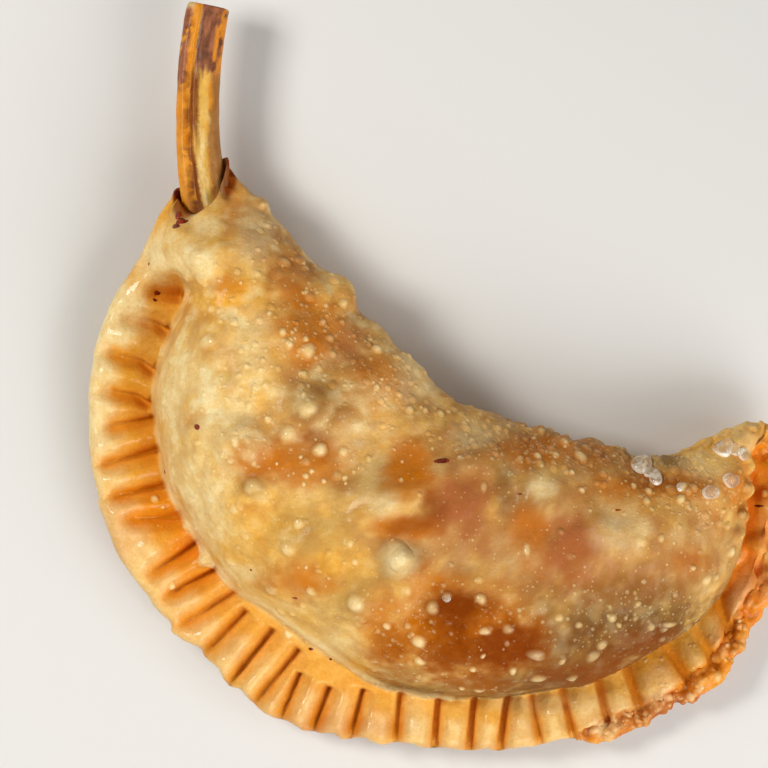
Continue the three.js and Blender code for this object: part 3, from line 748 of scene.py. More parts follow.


# Besides the crust's browning, some of these patches are painted shade: most of the grey ones, the strong
# brown ones inside the collar at the bone's root, and the amber beside a blister at the upper left.
# The tan, grey and brown towards the lower right also paint the light falling off there, and a pale patch on
# a bulge paints a highlight.
BELLY_PATCHES = patch_groups({
    Tint.TAN: (
        (590, 540, 160, 120, 0.75), (480, 600, 120, 90, 0.5), (290, 262, 44, 50, 0.6),
        (350, 325, 50, 44, 0.55), (430, 392, 60, 40, 0.7), (520, 440, 80, 34, 0.8),
        (330, 440, 70, 56, 0.5), (450, 470, 90, 60, 0.6), (260, 215, 40, 50, 0.4), (400, 540, 60, 40, 0.4),
        (700, 550, 50, 70, 0.6), (340, 400, 60, 50, 0.4), (262, 450, 34, 46, 0.7), (296, 390, 30, 24, 0.5),
    ),
    Tint.AMBER: (
        (308, 322, 44, 40, 0.75), (300, 350, 30, 20, 0.5), (385, 378, 30, 32, 0.5),
        (322, 467, 40, 26, 0.6), (256, 462, 40, 24, 0.7), (284, 280, 26, 28, 0.4),
        (410, 470, 28, 46, 0.85), (404, 528, 34, 16, 0.85), (298, 580, 44, 24, 0.8),
        (390, 606, 36, 22, 0.55), (298, 460, 44, 34, 0.55), (425, 582, 34, 24, 0.6),
        (345, 390, 40, 40, 0.2), (388, 640, 40, 34, 0.8), (232, 212, 16, 44, 0.5), (226, 286, 30, 12, 0.6),
        # (216, 352) is painted shade beside a blister.
        (216, 352, 26, 12, 0.35), (464, 632, 82, 62, 1), (600, 668, 90, 24, 0.15),
        (528, 535, 24, 36, 0.65), (650, 484, 76, 18, 0.7), (575, 455, 62, 22, 0.55),
        (620, 588, 90, 22, 0.2), (690, 560, 24, 18, 0.4), (716, 510, 20, 30, 0.35),
        (738, 488, 18, 34, 0.8), (275, 340, 30, 50, 0.2), (520, 452, 44, 18, 0.5), (250, 510, 20, 10, 0.3),
    ),
    Tint.BROWN: (
        (452, 608, 38, 24, 1), (508, 642, 36, 28, 0.85), (462, 652, 66, 34, 0.75), (486, 606, 24, 20, 0.5),
        (655, 484, 40, 12, 0.55), (600, 674, 100, 16, 0.5), (650, 644, 60, 26, 0.55),
        (408, 526, 22, 10, 0.6), (313, 434, 14, 9, 0.6), (580, 652, 80, 28, 0.2), (316, 318, 24, 20, 0.25),
        # (232, 174) and (227, 188) are painted shadow inside the collar at the bone's root.
        (520, 450, 44, 13, 0.15), (590, 472, 60, 13, 0.2), (318, 452, 26, 20, 0.3), (232, 174, 7, 19, 1),
        (227, 188, 7, 16, 1), (492, 652, 50, 24, 0.6), (612, 618, 110, 40, 0.15), (550, 682, 110, 14, 0.3),
        (428, 508, 22, 22, 0.55), (390, 644, 30, 28, 0.3), (332, 484, 26, 14, 0.25),
        (176, 206, 7, 10, 0.9), (184, 214, 8, 7, 0.7),
    ),
    Tint.MEAT: (
        (460, 498, 46, 36, 1), (570, 548, 40, 42, 1), (270, 236, 34, 46, 0.2), (342, 345, 34, 32, 0.6),
        (450, 550, 46, 26, 0.5), (508, 520, 50, 50, 0.3), (690, 562, 16, 14, 0.5),
        (250, 205, 22, 34, 0.25), (196, 318, 24, 12, 0.3), (188, 420, 24, 16, 0.3),
    ),
    # Mostly painted shade: the lower belly where it turns away from the light, and rings round the larger
    # blisters.
    Tint.GREY: (
        (502, 486, 14, 44, 0.65), (478, 444, 30, 18, 0.4), (253, 486, 17, 17, 0.5),
        (440, 690, 120, 10, 0.5), (316, 408, 28, 28, 0.4), (400, 672, 30, 12, 0.5),
        (585, 655, 76, 34, 0.9), (650, 638, 76, 40, 0.85), (340, 380, 36, 44, 0.35),
        (306, 456, 34, 24, 0.3), (368, 480, 50, 24, 0.3), (350, 590, 44, 40, 0.35),
        (455, 574, 30, 16, 0.5), (520, 496, 44, 26, 0.4), (616, 612, 120, 46, 0.75),
        (560, 680, 120, 20, 0.9), (310, 530, 50, 34, 0.3), (403, 563, 29, 27, 0.5),
        (664, 463, 22, 12, 0.7), (618, 454, 20, 9, 0.6), (560, 436, 60, 9, 0.2),
    ),
    Tint.PALE: (
        (188, 260, 30, 28, 0.7), (212, 438, 24, 30, 0.5), (246, 345, 30, 44, 0.6), (236, 412, 22, 26, 0.6),
        (200, 385, 46, 34, 0.4), (205, 226, 20, 14, 0.8), (372, 430, 36, 24, 0.35),
        (250, 235, 24, 34, 0.4), (172, 390, 16, 56, 0.5), (204, 514, 26, 40, 0.6), (336, 645, 30, 14, 0.4),
        # (385, 505) is a painted highlight on a bulge.
        (350, 440, 22, 18, 0.2), (178, 470, 30, 46, 0.4), (385, 505, 16, 12, 0.7), (742, 443, 24, 13, 0.4),
        (708, 466, 28, 14, 0.4), (415, 384, 24, 22, 0.4), (398, 561, 21, 20, 0.9),
        (542, 486, 20, 16, 0.65), (512, 560, 30, 26, 0.1), (622, 532, 34, 26, 0.5),
        (476, 436, 30, 14, 0.4), (226, 572, 30, 12, 0.6),
    ),
    Tint.GOLD: (
        (372, 430, 44, 26, 1), (630, 528, 44, 40, 0.8), (230, 300, 50, 30, 0.7), (250, 345, 40, 30, 0.4),
        (260, 530, 60, 50, 0.35), (722, 450, 50, 24, 0.6), (345, 560, 60, 50, 0.35),
        (215, 230, 40, 24, 0.8), (345, 670, 30, 10, 0.7),
    ),
    Tint.ORANGE: (
        (752, 438, 24, 14, 0.5), (640, 640, 70, 20, 0.15),
    ),
    Tint.PIMPLES: (
        (312, 335, 54, 56, 0.9), (280, 400, 80, 70, 0.6), (570, 450, 120, 34, 1), (680, 496, 70, 40, 0.9),
        (460, 630, 120, 56, 1), (640, 620, 100, 44, 0.8), (400, 378, 50, 44, 0.5),
    ),
})

# Besides the rim's colour, some patches paint light and shade: brown spots of shade in the pits at the
# grooves' inner ends, amber along the shaded outer border, and pale highlights on keys and the outer edge.
EDGE_PATCHES = patch_groups({
    Tint.ORANGE: (
        (164, 294, 20, 12, 0.3), (158, 516, 34, 26, 0.9), (188, 570, 44, 34, 0.5),
        (210, 640, 40, 34, 0.25), (300, 700, 60, 26, 0.2), (380, 725, 30, 26, 0.2), (736, 594, 40, 36, 1),
        (672, 680, 30, 30, 0.6), (122, 530, 26, 44, 0.9), (330, 722, 80, 18, 0.6), (176, 612, 40, 40, 0.3),
    ),
    # Painted shade in the deep pits at the grooves' inner ends.
    Tint.BROWN: (
        (181, 294, 5, 6, 0.9), (168, 327, 5, 5, 0.7), (157, 365, 5, 5, 0.9), (151, 399, 5, 5, 0.8),
        (152, 418, 4, 4, 0.7), (157, 450, 5, 5, 0.6), (163, 486, 4, 5, 0.5), (180, 515, 4, 5, 0.5),
        (214, 568, 4, 5, 0.5),
    ),
    # The long bands along the outer border are painted shade.
    Tint.AMBER: (
        (330, 728, 100, 13, 0.65), (620, 728, 60, 16, 0.5), (524, 730, 20, 16, 0.35),
        (740, 650, 16, 20, 0.4), (664, 702, 40, 12, 0.5), (304, 704, 70, 30, 0.2), (470, 750, 90, 9, 0.6),
        (236, 652, 14, 14, 0.4), (118, 540, 16, 50, 0.25), (720, 612, 24, 22, 0.4),
    ),
    Tint.RUST: (
        (190, 548, 20, 18, 0.4), (746, 510, 12, 50, 0.6), (740, 588, 24, 32, 0.9), (722, 640, 16, 20, 0.6),
        (672, 697, 30, 9, 0.8),
    ),
    Tint.MEAT: (
        (640, 718, 60, 14, 0.6), (672, 704, 44, 14, 0.8), (179, 214, 13, 12, 0.7),
    ),
    # Several are painted highlights, on keys' lit edges and the rounded outer edge at the left; (560, 704)
    # is painted light where the belly shades the rim.
    Tint.PALE: (
        (605, 728, 16, 10, 0.8), (560, 704, 80, 12, 0.4), (414, 715, 12, 30, 0.3),
        (156, 256, 34, 34, 0.95), (766, 545, 12, 70, 0.2), (126, 316, 26, 34, 0.8),
        (98, 390, 15, 100, 0.6),
    ),
    Tint.PIMPLES: (
        (690, 700, 120, 60, 0.8),
    ),
    Tint.GOLD: (
        (100, 405, 14, 14, 0.8), (768, 510, 13, 90, 1), (760, 440, 20, 14, 1), (690, 680, 70, 44, 0.6),
    ),
})


@dataclass
class DoughMesh:
    """The fine skin of the dough as a net of points, with its colour fields."""

    form: DoughForm
    bone: BoneForm
    fine_step: float = 0.33
    coarse_step: float = 0.59
    zone_steps: tuple[int, ...] = (9, 30, 62, 40, 11, 13, 8)
    lining_steps: int = 12
    tip_steps: int = 5
    neck: tuple[float, float] = (0.13, 0.18)
    valley: tuple[float, float] = (0.95, 2.8)
    left_end: tuple[float, float] = (0.3, 0.42)
    flange_start: tuple[float, float] = (0.83, 0.87)
    tip_fill: tuple[float, float] = (0.962, 0.982)
    gape: float = 0.3
    lip_share: float = 0.35
    tip_way: tuple[float, float, float] = (0.25, 0.95, 0.1)
    tip_reach: float = 1.4
    pillow: float = 1.1
    thinnest: float = 0.9
    groove_height: float = 9.0
    close_span: tuple[float, float] = (1.6, 3.0)
    lump_reach: float = 1.25

    def __post_init__(self) -> None:
        """Works out the net, its relief and its colours."""
        self.u = self.form.place_at(self.row_places())
        self.q = np.concatenate([k + np.arange(n) / n for k, n in enumerate(self.zone_steps)])
        base = self.form.skin(self.u, self.q)
        self.points = base + self.form.relief(base, self.q)[..., None] * self.normals(base)
        self.tints = {tint: np.zeros(base.shape[:2]) for tint in Tint}
        self.fill_neck()
        self.ease_crease()
        self.roughen()
        self.add_lumps()
        self.press_grooves()
        self.paint()
        self.points[..., 2] = np.maximum(self.points[..., 2], 0.0)

    def row_places(self) -> Array:
        """Lengths along the crease at which rows lie, closer together at the grooves."""
        total = float(self.form.lengths[-1])
        ends = VIEW.plan([groove.inner for groove in GROOVES], self.groove_height)
        along = np.linspace(0, total, 2000)
        crease = self.form.blend(self.form.place_at(along))[:, 2:4]
        close = np.zeros_like(along)
        for end in ends:
            at = along[np.argmin(np.linalg.norm(crease - end, axis=1))]
            close = np.maximum(close, 1 - ease(*self.close_span, abs(along - at)))
        per_mm = mix(1 / self.coarse_step, 1 / self.fine_step, close)
        count = np.concatenate([[0.0], np.cumsum((per_mm[1:] + per_mm[:-1]) / 2 * np.diff(along))])
        return np.interp(np.linspace(0, count[-1], int(count[-1])), count, along)

    def normals(self, points: Array) -> Array:
        """Outward directions of the net at its points."""
        along = np.gradient(points, axis=0)
        around = np.roll(points, -1, axis=1) - np.roll(points, 1, axis=1)
        out = np.cross(along, around)
        return out / np.maximum(np.linalg.norm(out, axis=-1, keepdims=True), 1e-9)

    def spread(self, first: float, last: float, soft: float = 0.1) -> Array:
        """How much each column lies between two places round the section, as one row."""
        rise = ease(first - soft, first + soft, self.q)
        return (rise * (1 - ease(last - soft, last + soft, self.q)))[None, :]

    def rim_band(self, top: float, soft: float, under: float, under_soft: float) -> Array:
        """How much each column lies between a place under the rim and one on its top, as one row."""
        return clamp01(self.spread(0.0, top, soft) + self.spread(under, 7.5, under_soft))

    def fill_neck(self) -> None:
        """Fills the valley between rim and belly at the mouth and the far tip, where the dough is smooth."""
        low, high = (int(np.searchsorted(self.q, at)) for at in self.valley)
        rim, wall = self.points[:, low, None, :], self.points[:, high, None, :]
        chord = wall - rim
        off = self.points - rim
        share = clamp01((off[..., :2] * chord[..., :2]).sum(axis=-1) / (chord[..., :2] ** 2).sum(axis=-1))
        level = mix(rim[..., 2], wall[..., 2], share) + 2.0 * share * (1 - share)
        ends = 1 - ease(*self.neck, self.u) + ease(*self.tip_fill, self.u)
        between = self.spread(*self.valley, 0.01) * ends[:, None]
        self.points[..., 2] += between * np.maximum(level - self.points[..., 2], 0)

    def ease_crease(self, rounds: int = 9) -> None:
        """Rounds the corner between rim and belly, most of all at the left."""
        soft = mix(1.0, 0.35, ease(0.42, 0.55, self.u))[:, None] * self.spread(1.75, 2.3, 0.12)
        for _ in range(rounds):
            beside = (np.roll(self.points, 1, axis=1) + np.roll(self.points, -1, axis=1)) / 2
            self.points = mix(self.points, beside, 0.9 * soft[..., None])

    def roughen(self) -> None:
        """Adds the dough's soft lumps, ragged edge, lower layer and folds to the points."""
        p = self.points
        u = self.u[:, None]
        belly = self.spread(2.12, 5.9, 0.1)
        edge = self.rim_band(2.0, 0.06, 6.6, 0.3)
        s = self.form.rows(self.u)
        out_of_ends = s.lip * ease(-0.5, 0.3, s.lip_width - np.linalg.norm(p[..., :2] - s.rim, axis=-1))
        lower = out_of_ends * edge
        foot = mix(0.15, 1.0, ease(2.15, 2.6, self.q))[None, :]
        out = belly * foot * (0.85 * ripple(p, 9.0, 2) + 0.26 * ripple(p, 3.0, 2, 9.0))
        out += edge * (0.16 * ripple(p, 3.6, 3, 21.0) + 0.2 * ripple(p, 8.0, 1, 25.0))
        torn = lower * (1.3 * ripple(p, 2.6, 3, 33.0) + 0.9 * abs(ripple(p, 4.4, 1, 37.0)))
        flange = ease(*self.flange_start, u) * (1 - ease(0.985, 1.0, u)) * self.spread(0.6, 2.0, 0.15)
        slanted = (p[..., 0] * 0.55 + p[..., 1]) * 0.8 + 1.5 * ripple(p, 8.0, 2, 5.0)
        folded = flange * (0.5 * (1 - 2 * abs(np.sin(0.42 * slanted))) + 0.4 * ripple(p, 3.4, 3, 41.0))
        self.rough, self.out = np.maximum(lower, flange), torn + folded
        out += self.out
        hem = self.rim_band(0.35, 0.12, 6.6, 0.3) * (1 - self.rough)
        self.hem = hem * ease(0.36, 0.5, u) * (1 - ease(0.86, 0.9, u))
        out += self.hem * (0.35 * ripple(p, 1.7, 3, 81.0) + 0.3 * abs(ripple(p, 2.6, 1, 83.0)))
        wet = self.streaks(p) * edge * ease(0.36, 0.42, u) * (1 - ease(0.5, 0.55, u))
        off_ridge = beside_line(VIEW.pixels(p), FOOT_RIDGE) + 1.2 * ripple(p, 3.0, 2, 17.0)
        self.ridge = (1 - ease(0.5, 4.5, off_ridge)) * self.spread(1.5, 2.6, 0.1)
        self.points = p + (out + wet + 0.5 * self.ridge)[..., None] * self.normals(p)

    @staticmethod
    def streaks(points: Array) -> Array:
        """Fine wrinkles across the lower left of the rim, in millimetres."""
        turned = np.stack([
            points[..., 0] * 0.84 + points[..., 1] * 0.54,
            (points[..., 1] * 0.84 - points[..., 0] * 0.54) * 3.2,
            points[..., 2],
        ], axis=-1)
        return 0.16 * ripple(turned, 6.0, 2, 61.0)

    def add_lumps(self) -> None:
        """Raises the lumps that sit at places of the picture."""
        out = np.zeros(self.points.shape[:2])
        shown = (self.spread(0.2, 4.1, 0.2) > 0.5) & (self.points[..., 2] > 0)
        spot = VIEW.pixels(self.points)
        for lump in LUMPS:
            off = np.hypot(spot[..., 0] - lump.px, spot[..., 1] - lump.py) - 0.05 * self.points[..., 2]
            off = np.where(shown, off, np.inf)
            centre = self.points[np.unravel_index(np.argmin(off), off.shape)]
            share = np.linalg.norm(self.points - centre, axis=-1) / (self.lump_reach * lump.radius)
            out += lump.height * swelling(share)
        self.points = self.points + out[..., None] * self.normals(self.points)

    def press_grooves(self) -> None:
        """Presses the fork's grooves into the rim, down to a part of its thickness."""
        spot = VIEW.pixels(self.points)
        made = np.zeros((4, *self.points.shape[:2]))
        for groove in GROOVES:
            made = np.maximum(made, groove.press(spot))
        depth, shown, beside, line = made
        top = self.spread(0.3, 2.1, 0.2)
        under = self.rim_band(0.6, 0.1, 6.7, 0.1)
        self.groove = shown * clamp01(self.spread(0.3, 2.03, 0.07) + under)
        # Where the painted shadow line along each groove's steep side lies on the rim's top.
        self.line = line * self.spread(0.3, 2.05, 0.07)
        across = clamp01((self.q - 0.1) / 1.85)[None, :]
        along = (ease(0.15, 0.18, self.u) * (1 - ease(0.87, 0.9, self.u)))[:, None]
        self.puff = (4 * across * (1 - across)) ** 0.7 * (1 - beside) * along
        s = self.form.rows(self.u)
        kept = self.form.hem_height(s, np.zeros_like(s.width)) + self.thinnest
        raised = self.points[..., 2] + self.pillow * self.puff * (1 - s.lip)
        self.points[..., 2] = np.maximum(raised - depth * top, np.minimum(kept, self.points[..., 2]))

    def paint(self) -> None:
        """Sets the colour fields from the patches, the zones and the fork marks."""
        uneven = ripple(self.points, 7.0, 3, 50.0)
        fine = ripple(self.points, 2.2, 2, 70.0)
        belly = self.spread(1.96, 4.5, 0.05) * (1 - ease(3.95, 4.35, self.q))
        edge = self.rim_band(1.96, 0.03, 6.9, 0.1)
        self.lay_patches(((belly, BELLY_PATCHES), (edge, EDGE_PATCHES)), 0.3 * uneven + 0.16 * fine)
        self.paint_hidden(uneven)
        left = 1 - ease(*self.left_end, self.u[:, None])
        self.paint_rim(edge, left, uneven)
        self.paint_belly(belly, left, uneven)
        self.tints[Tint.GOLD] += mix(0.55, 0.75, left) * edge + 0.25 * belly * ease(-0.1, 0.6, uneven)
        self.tints[Tint.OIL] += 0.6 * edge + 0.15 + 0.4 * fine - 0.5 * self.tints[Tint.BROWN]
        self.paint_rough_edges()
        for tint, values in self.tints.items():
            self.tints[tint] = clamp01(values)

    def lay_patches(self, zones: Sequence[tuple[Array, dict]], worn: Array) -> None:
        """Lays each zone's patches over one another, with borders that an unevenness wears away."""
        spot = VIEW.pixels(self.points)
        for zone, patches in zones:
            for tint, patch in ((tint, patch) for tint, group in patches.items() for patch in group):
                off = np.hypot((spot[..., 0] - patch.px) / patch.rx, (spot[..., 1] - patch.py) / patch.ry)
                cover = patch.strength * (1 - ease(0.3, 1.25, off + worn)) * zone
                self.tints[tint] = 1 - (1 - self.tints[tint]) * (1 - cover)

    def paint_rim(self, edge: Array, left: Array, uneven: Array) -> None:
        """Colours the rim: deeper by the belly and in the fork marks, paler on the keys."""
        u = self.u[:, None]
        out = clamp01(2.0 - self.q)[None, :] + 0.12 * uneven
        near = 1 - ease(0.25, 0.6, out)
        start = mix(0.36, 0.5, left) - 0.18 * ease(0.66, 0.74, u)
        far = ease(start, start + 0.3, out) * (1 - 0.9 * self.groove)
        low = left * ease(0.2, 0.32, u)
        # Deeper orange by the belly, in the grooves and between the puffed keys, and the amber by the belly:
        # partly the dough's own colour, partly painted shade.
        orange = low * (0.3 * near + 0.3 * self.groove) + 0.4 * low * (1 - self.puff)
        orange = orange + 0.08 * (1 - left) + 0.2 * ease(0.0, 0.5, uneven)
        self.tints[Tint.ORANGE] += edge * orange
        self.tints[Tint.AMBER] += 0.16 * edge * low * near
        # Painted shadow: a brown line along each groove's steep side, under the overhanging edge.
        self.tints[Tint.BROWN] += mix(0.2, 0.55, left) * self.line
        # Paler puffed key tops and foot ridge: partly paler dough, partly painted highlights.
        top = edge * far * self.puff * (1 - self.rough)
        self.tints[Tint.PALE] += 0.7 * self.ridge + mix(0.5, 0.65, left) * top
        # Crevice colour in the grooves: deeper orange, partly painted shade.
        self.tints[Tint.CREVICE] += self.groove * mix(0.7, 0.7 * (1 - ease(0.2, 0.8, out)), left)

    def paint_belly(self, belly: Array, left: Array, uneven: Array) -> None:
        """Lightens and tans the belly in blotches, and greys its foot."""
        blotch = ripple(self.points, 5.0, 3, 110.0)
        light = (1 - self.tints[Tint.AMBER]) * (1 - self.tints[Tint.BROWN]) * (1 - self.tints[Tint.MEAT])
        self.tints[Tint.PALE] += belly * light * ease(0.05, 0.55, blotch) * mix(0.2, 0.6, left)
        self.tints[Tint.TAN] += 0.35 * belly * (1 - ease(-0.5, 0.0, blotch))
        # Painted shade along the belly's foot on its lower and right part, in grey and a little brown.
        near_foot = np.exp(-(((self.q - 2.08) / 0.2) ** 2))[None, :] * (self.q > 1.96)
        foot = near_foot * ease(0.46, 0.56, self.u[:, None])
        self.tints[Tint.GREY] += 0.5 * foot
        self.tints[Tint.BROWN] += foot * mix(0.0, 0.15, ease(-0.3, 0.4, uneven))

    def paint_rough_edges(self) -> None:
        """Colours the torn lower layer, the folds above it and the ragged hem."""
        lower = self.rough * (1 - ease(0.81, 0.85, self.u[:, None]))
        # Rust and brown in the hollows of the torn layer and pale on its high bits: partly its own colour,
        # partly painted shade and highlight.
        self.tints[Tint.RUST] += 0.5 * self.rough * (1 - ease(0.0, 0.9, self.out))
        self.tints[Tint.BROWN] += 0.5 * lower * (1 - ease(-0.8, 0.1, self.out))
        self.tints[Tint.MEAT] += 0.5 * self.hem
        self.tints[Tint.PALE] += 0.5 * lower * ease(0.4, 1.4, self.out)
        self.tints[Tint.ORANGE] += 0.6 * self.rough

    def paint_hidden(self, uneven: Array) -> None:
        """Browns the back and the underside in patches of their own."""
        p = self.points
        hidden = self.spread(4.3, 6.9, 0.25)
        broad = uneven + 0.5 * ripple(p, 16.0, 2, 90.0)
        self.tints[Tint.AMBER] += hidden * 0.85 * ease(-0.15, 0.5, broad)
        dark = ease(0.2, 0.7, ripple(p, 12.0, 3, 94.0)) * ease(0.0, 0.5, self.tints[Tint.AMBER])
        self.tints[Tint.BROWN] += hidden * 0.5 * dark
        self.tints[Tint.MEAT] += hidden * 0.6 * ease(0.1, 0.5, ripple(p, 18.0, 2, 98.0))
        self.tints[Tint.GOLD] += hidden * 0.5
        self.tints[Tint.PIMPLES] += hidden * 0.6

    def lining(self) -> Array:
        """Rings that turn in over the mouth's lip and line the bone's socket, the innermost first."""
        ring = self.points[0]
        centre, across = self.bone.axis(np.array(self.bone.mouth))
        off = ring - centre
        angle = np.arctan2(off[:, 2], off @ across)
        lip = self.bone.lip(angle)
        rings = []
        for step in range(1, self.lining_steps + 1):
            f = step / self.lining_steps
            gape = self.bone.mouth_gap + self.gape * np.exp(-((angle - 0.4) / 0.7) ** 2)
            clearance = mix(gape, self.bone.socket_gap, ease(self.lip_share, 0.9, f))
            reach = mix(lip, self.bone.length + self.bone.socket_gap, ease(self.lip_share, 1.0, f))
            wall = self.bone.around(reach, angle, clearance)
            over = clamp01(np.array(f / self.lip_share))
            turned = mix(ring, wall, over)
            turned[:, 1] += 0.8 * np.sin(over * math.pi)
            rings.append(turned)
        return np.array(rings[::-1])

    def tip(self) -> Array:
        """Rings that round off the far tip."""
        ring = self.points[-1]
        middle = ring.mean(axis=0)
        outward = np.array(self.tip_way) * self.tip_reach
        rings = []
        for step in range(1, self.tip_steps + 1):
            turn = step / (self.tip_steps + 1) * math.pi / 2
            rings.append(middle + (ring - middle) * math.cos(turn) + outward * math.sin(turn))
        return np.array(rings)


@dataclass(frozen=True)
class Shift:
    """The move from the form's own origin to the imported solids' origin, in millimetres."""

    x: float
    y: float
    z: float

    @classmethod
    def from_bone(cls, bone: BoneForm) -> "Shift":
        """Finds the move by setting the bone's form against its solid."""
        angles = np.arange(32) / 32 * TURN
        places = np.linspace(0.5, bone.length - 0.5, 13)
        grid = bone.around(places[:, None] + 0 * angles, angles + 0 * places[:, None], np.zeros(1))
        low = np.array(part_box("rib_bone")[0]) / MM
        made = grid.reshape(-1, 3).min(axis=0)
        return cls(float(low[0] - made[0]), 0.0, float(low[2] - made[2]))

    def place(self, points: Array) -> Array:
        """Moves points to the solids' origin and turns them into metres."""
        return (points + np.array([self.x, self.y, self.z])) * MM


class Bench:
    """Short forms of the modelling steps that the pieces share."""

    @staticmethod
    def clear_selection() -> None:
        """Leaves edit mode and deselects everything."""
        if bpy.context.object and bpy.context.object.mode != "OBJECT":
            bpy.ops.object.mode_set(mode="OBJECT")
        bpy.ops.object.select_all(action="DESELECT")

    @staticmethod
    def net(name: str, points: Array, fields: dict[str, Array]) -> bpy.types.Object:
        """Makes a closed tube of a net of points.

        Args:
            name: The piece's name.
            points: Rows of points in metres; each row is one ring round the tube.
            fields: Values for each point, kept as mesh attributes.

        Returns:
            The new object, with its rings joined and both ends closed.
        """
        rows, columns = points.shape[:2]
        Bench.clear_selection()
        bpy.ops.mesh.primitive_grid_add(x_subdivisions=columns, y_subdivisions=rows - 1, size=2)
        piece = bpy.context.object
        piece.name = name
        mesh = piece.data
        flat = np.zeros(len(mesh.vertices) * 3)
        mesh.vertices.foreach_get("co", flat)
        flat = flat.reshape(-1, 3)
        column = np.rint((flat[:, 0] + 1) / 2 * columns).astype(int) % columns
        row = np.rint((flat[:, 1] + 1) / 2 * (rows - 1)).astype(int)
        mesh.vertices.foreach_set("co", points[row, column].ravel())
        for key, values in fields.items():
            layer = mesh.attributes.new(key, "FLOAT", "POINT")
            layer.data.foreach_set("value", values[row, column].ravel().astype(np.float32))
        bpy.ops.object.mode_set(mode="EDIT")
        bpy.ops.mesh.select_mode(type="VERT")
        bpy.ops.mesh.select_all(action="SELECT")
        bpy.ops.mesh.remove_doubles(threshold=1e-7)
        bpy.ops.mesh.select_all(action="DESELECT")
        bpy.ops.mesh.select_non_manifold()
        bpy.ops.mesh.fill_holes(sides=0)
        bpy.ops.mesh.select_all(action="SELECT")
        bpy.ops.mesh.normals_make_consistent(inside=False)
        bpy.ops.object.mode_set(mode="OBJECT")
        bpy.ops.object.shade_smooth()
        Bench.clear_selection()
        return piece

    @staticmethod
    def finish(piece: bpy.types.Object, material: bpy.types.Material, slot: str, *nodes: str) -> None:
        """Gives a piece its material and ties it to the solids."""
        piece.data.materials.clear()
        piece.data.materials.append(material)
        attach(piece, "root")
        if nodes:
            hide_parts(*nodes)
        log.info("%s: %d faces", piece.name, len(piece.data.polygons))


def joins(operation: str, swapped: bool = False) -> Callable[["Wire", "Wire | float"], "Wire"]:
    """A method that joins a wire and another value by a Math node."""

    def method(self: "Wire", other: "Wire | float") -> "Wire":
        """One Math node of the two."""
        return self.board.math(operation, *((other, self) if swapped else (self, other)))

    return method


class Wire:
    """A shader value, whose arithmetic adds Math nodes."""

    def __init__(self, board: "Board", socket: bpy.types.NodeSocket) -> None:
        """Wraps an output socket of a board's node."""
        self.board = board
        self.socket = socket

    __add__ = __radd__ = joins("ADD")
    __sub__ = joins("SUBTRACT")
    __rsub__ = joins("SUBTRACT", swapped=True)
    __mul__ = __rmul__ = joins("MULTIPLY")
    __truediv__ = joins("DIVIDE")


class Board:
    """The node tree of one material."""

    def __init__(self, name: str) -> None:
        """Starts a material with only its output and main shader."""
        self.material = bpy.data.materials.new(name)
        self.material.use_nodes = True
        self.tree = self.material.node_tree
        self.shader = self.tree.nodes["Principled BSDF"]
        self.place = self.node("ShaderNodeTexCoord", {}, {}, "Object")

    def node(self, kind: str, settings: dict, sockets: dict, output: str | int = 0) -> Wire:
        """Adds a node.

        Args:
            kind: Blender's type name of the node.
            settings: Its properties, set first.
            sockets: Values or wires for its inputs, by name or number.
            output: Name or number of the output that is wanted.

        Returns:
            The wanted output.
        """
        made = self.tree.nodes.new(kind)
        for key, value in settings.items():
            setattr(made, key, value)
        for key, value in sockets.items():
            self.feed(made.inputs[key], value)
        return Wire(self, made.outputs[output])

    def feed(self, socket: bpy.types.NodeSocket, value: object) -> None:
        """Sets an input to a value, or links a wire to it."""
        if isinstance(value, Wire):
            self.tree.links.new(value.socket, socket)
        else:
            socket.default_value = value

    def math(self, operation: str, a: Wire | float, b: Wire | float = 0.0) -> Wire:
        """One Math node."""
        return self.node("ShaderNodeMath", {"operation": operation}, {0: a, 1: b})

    def attribute(self, key: str) -> Wire:
        """A value kept on the mesh."""
        return self.node("ShaderNodeAttribute", {"attribute_name": key}, {}, "Fac")

    def grain(self, size_mm: float, detail: float = 2.0, rough: float = 0.5, warp: float = 0.0) -> Wire:
        """Noise with features of about a size."""
        sockets = {"Vector": self.place, "Scale": 1 / (size_mm * MM), "Detail": detail,
                   "Roughness": rough, "Distortion": warp}
        return self.node("ShaderNodeTexNoise", {}, sockets, "Fac")

    def step(self, value: Wire, low: float, high: float, top: float = 1.0) -> Wire:
        """Rises smoothly from 0 at low to top at high."""
        sockets = {"Value": value, "From Min": low, "From Max": high, "To Min": 0.0, "To Max": top}
        return self.node("ShaderNodeMapRange", {"interpolation_type": "SMOOTHSTEP"}, sockets)

    def tint(self, factor: Wire | float, under: object, over: object, blend: str = "MIX") -> Wire:
        """Lays one colour over another."""
        sockets = {0: factor, 6: under, 7: over}
        return self.node("ShaderNodeMix", {"data_type": "RGBA", "blend_type": blend}, sockets, 2)

    def colour_of(self, red: Wire, green: Wire, blue: Wire) -> Wire:
        """A colour made of three values."""
        return self.node("ShaderNodeCombineColor", {}, {0: red, 1: green, 2: blue})

    def cover(self, base: object, layers: Sequence[tuple[Wire, object]]) -> Wire:
        """Lays colours over a base, each with its own factor."""
        for factor, colour in layers:
            base = self.tint(factor, base, colour)
        return base

    def bump(self, height: Wire, depth_mm: float, under: Wire | None = None) -> Wire:
        """A bump of a depth, laid over another bump where one is given."""
        sockets: dict = {"Height": height, "Distance": depth_mm * MM, "Strength": 1.0}
        if under is not None:
            sockets["Normal"] = under
        return self.node("ShaderNodeBump", {}, sockets, "Normal")

    def set(self, **sockets: object) -> None:
        """Feeds inputs of the main shader, an underscore standing for each blank in a name."""
        for key, value in sockets.items():
            self.feed(self.shader.inputs[key.replace("_", " ")], value)


def srgb(red: int, green: int, blue: int) -> tuple[float, float, float, float]:
    """A colour as the screen's 0 to 255 values, made linear."""
    shares = [c / 255 for c in (red, green, blue)]
    return (*(s / 12.92 if s <= 0.0405 else ((s + 0.055) / 1.055) ** 2.4 for s in shares), 1.0)


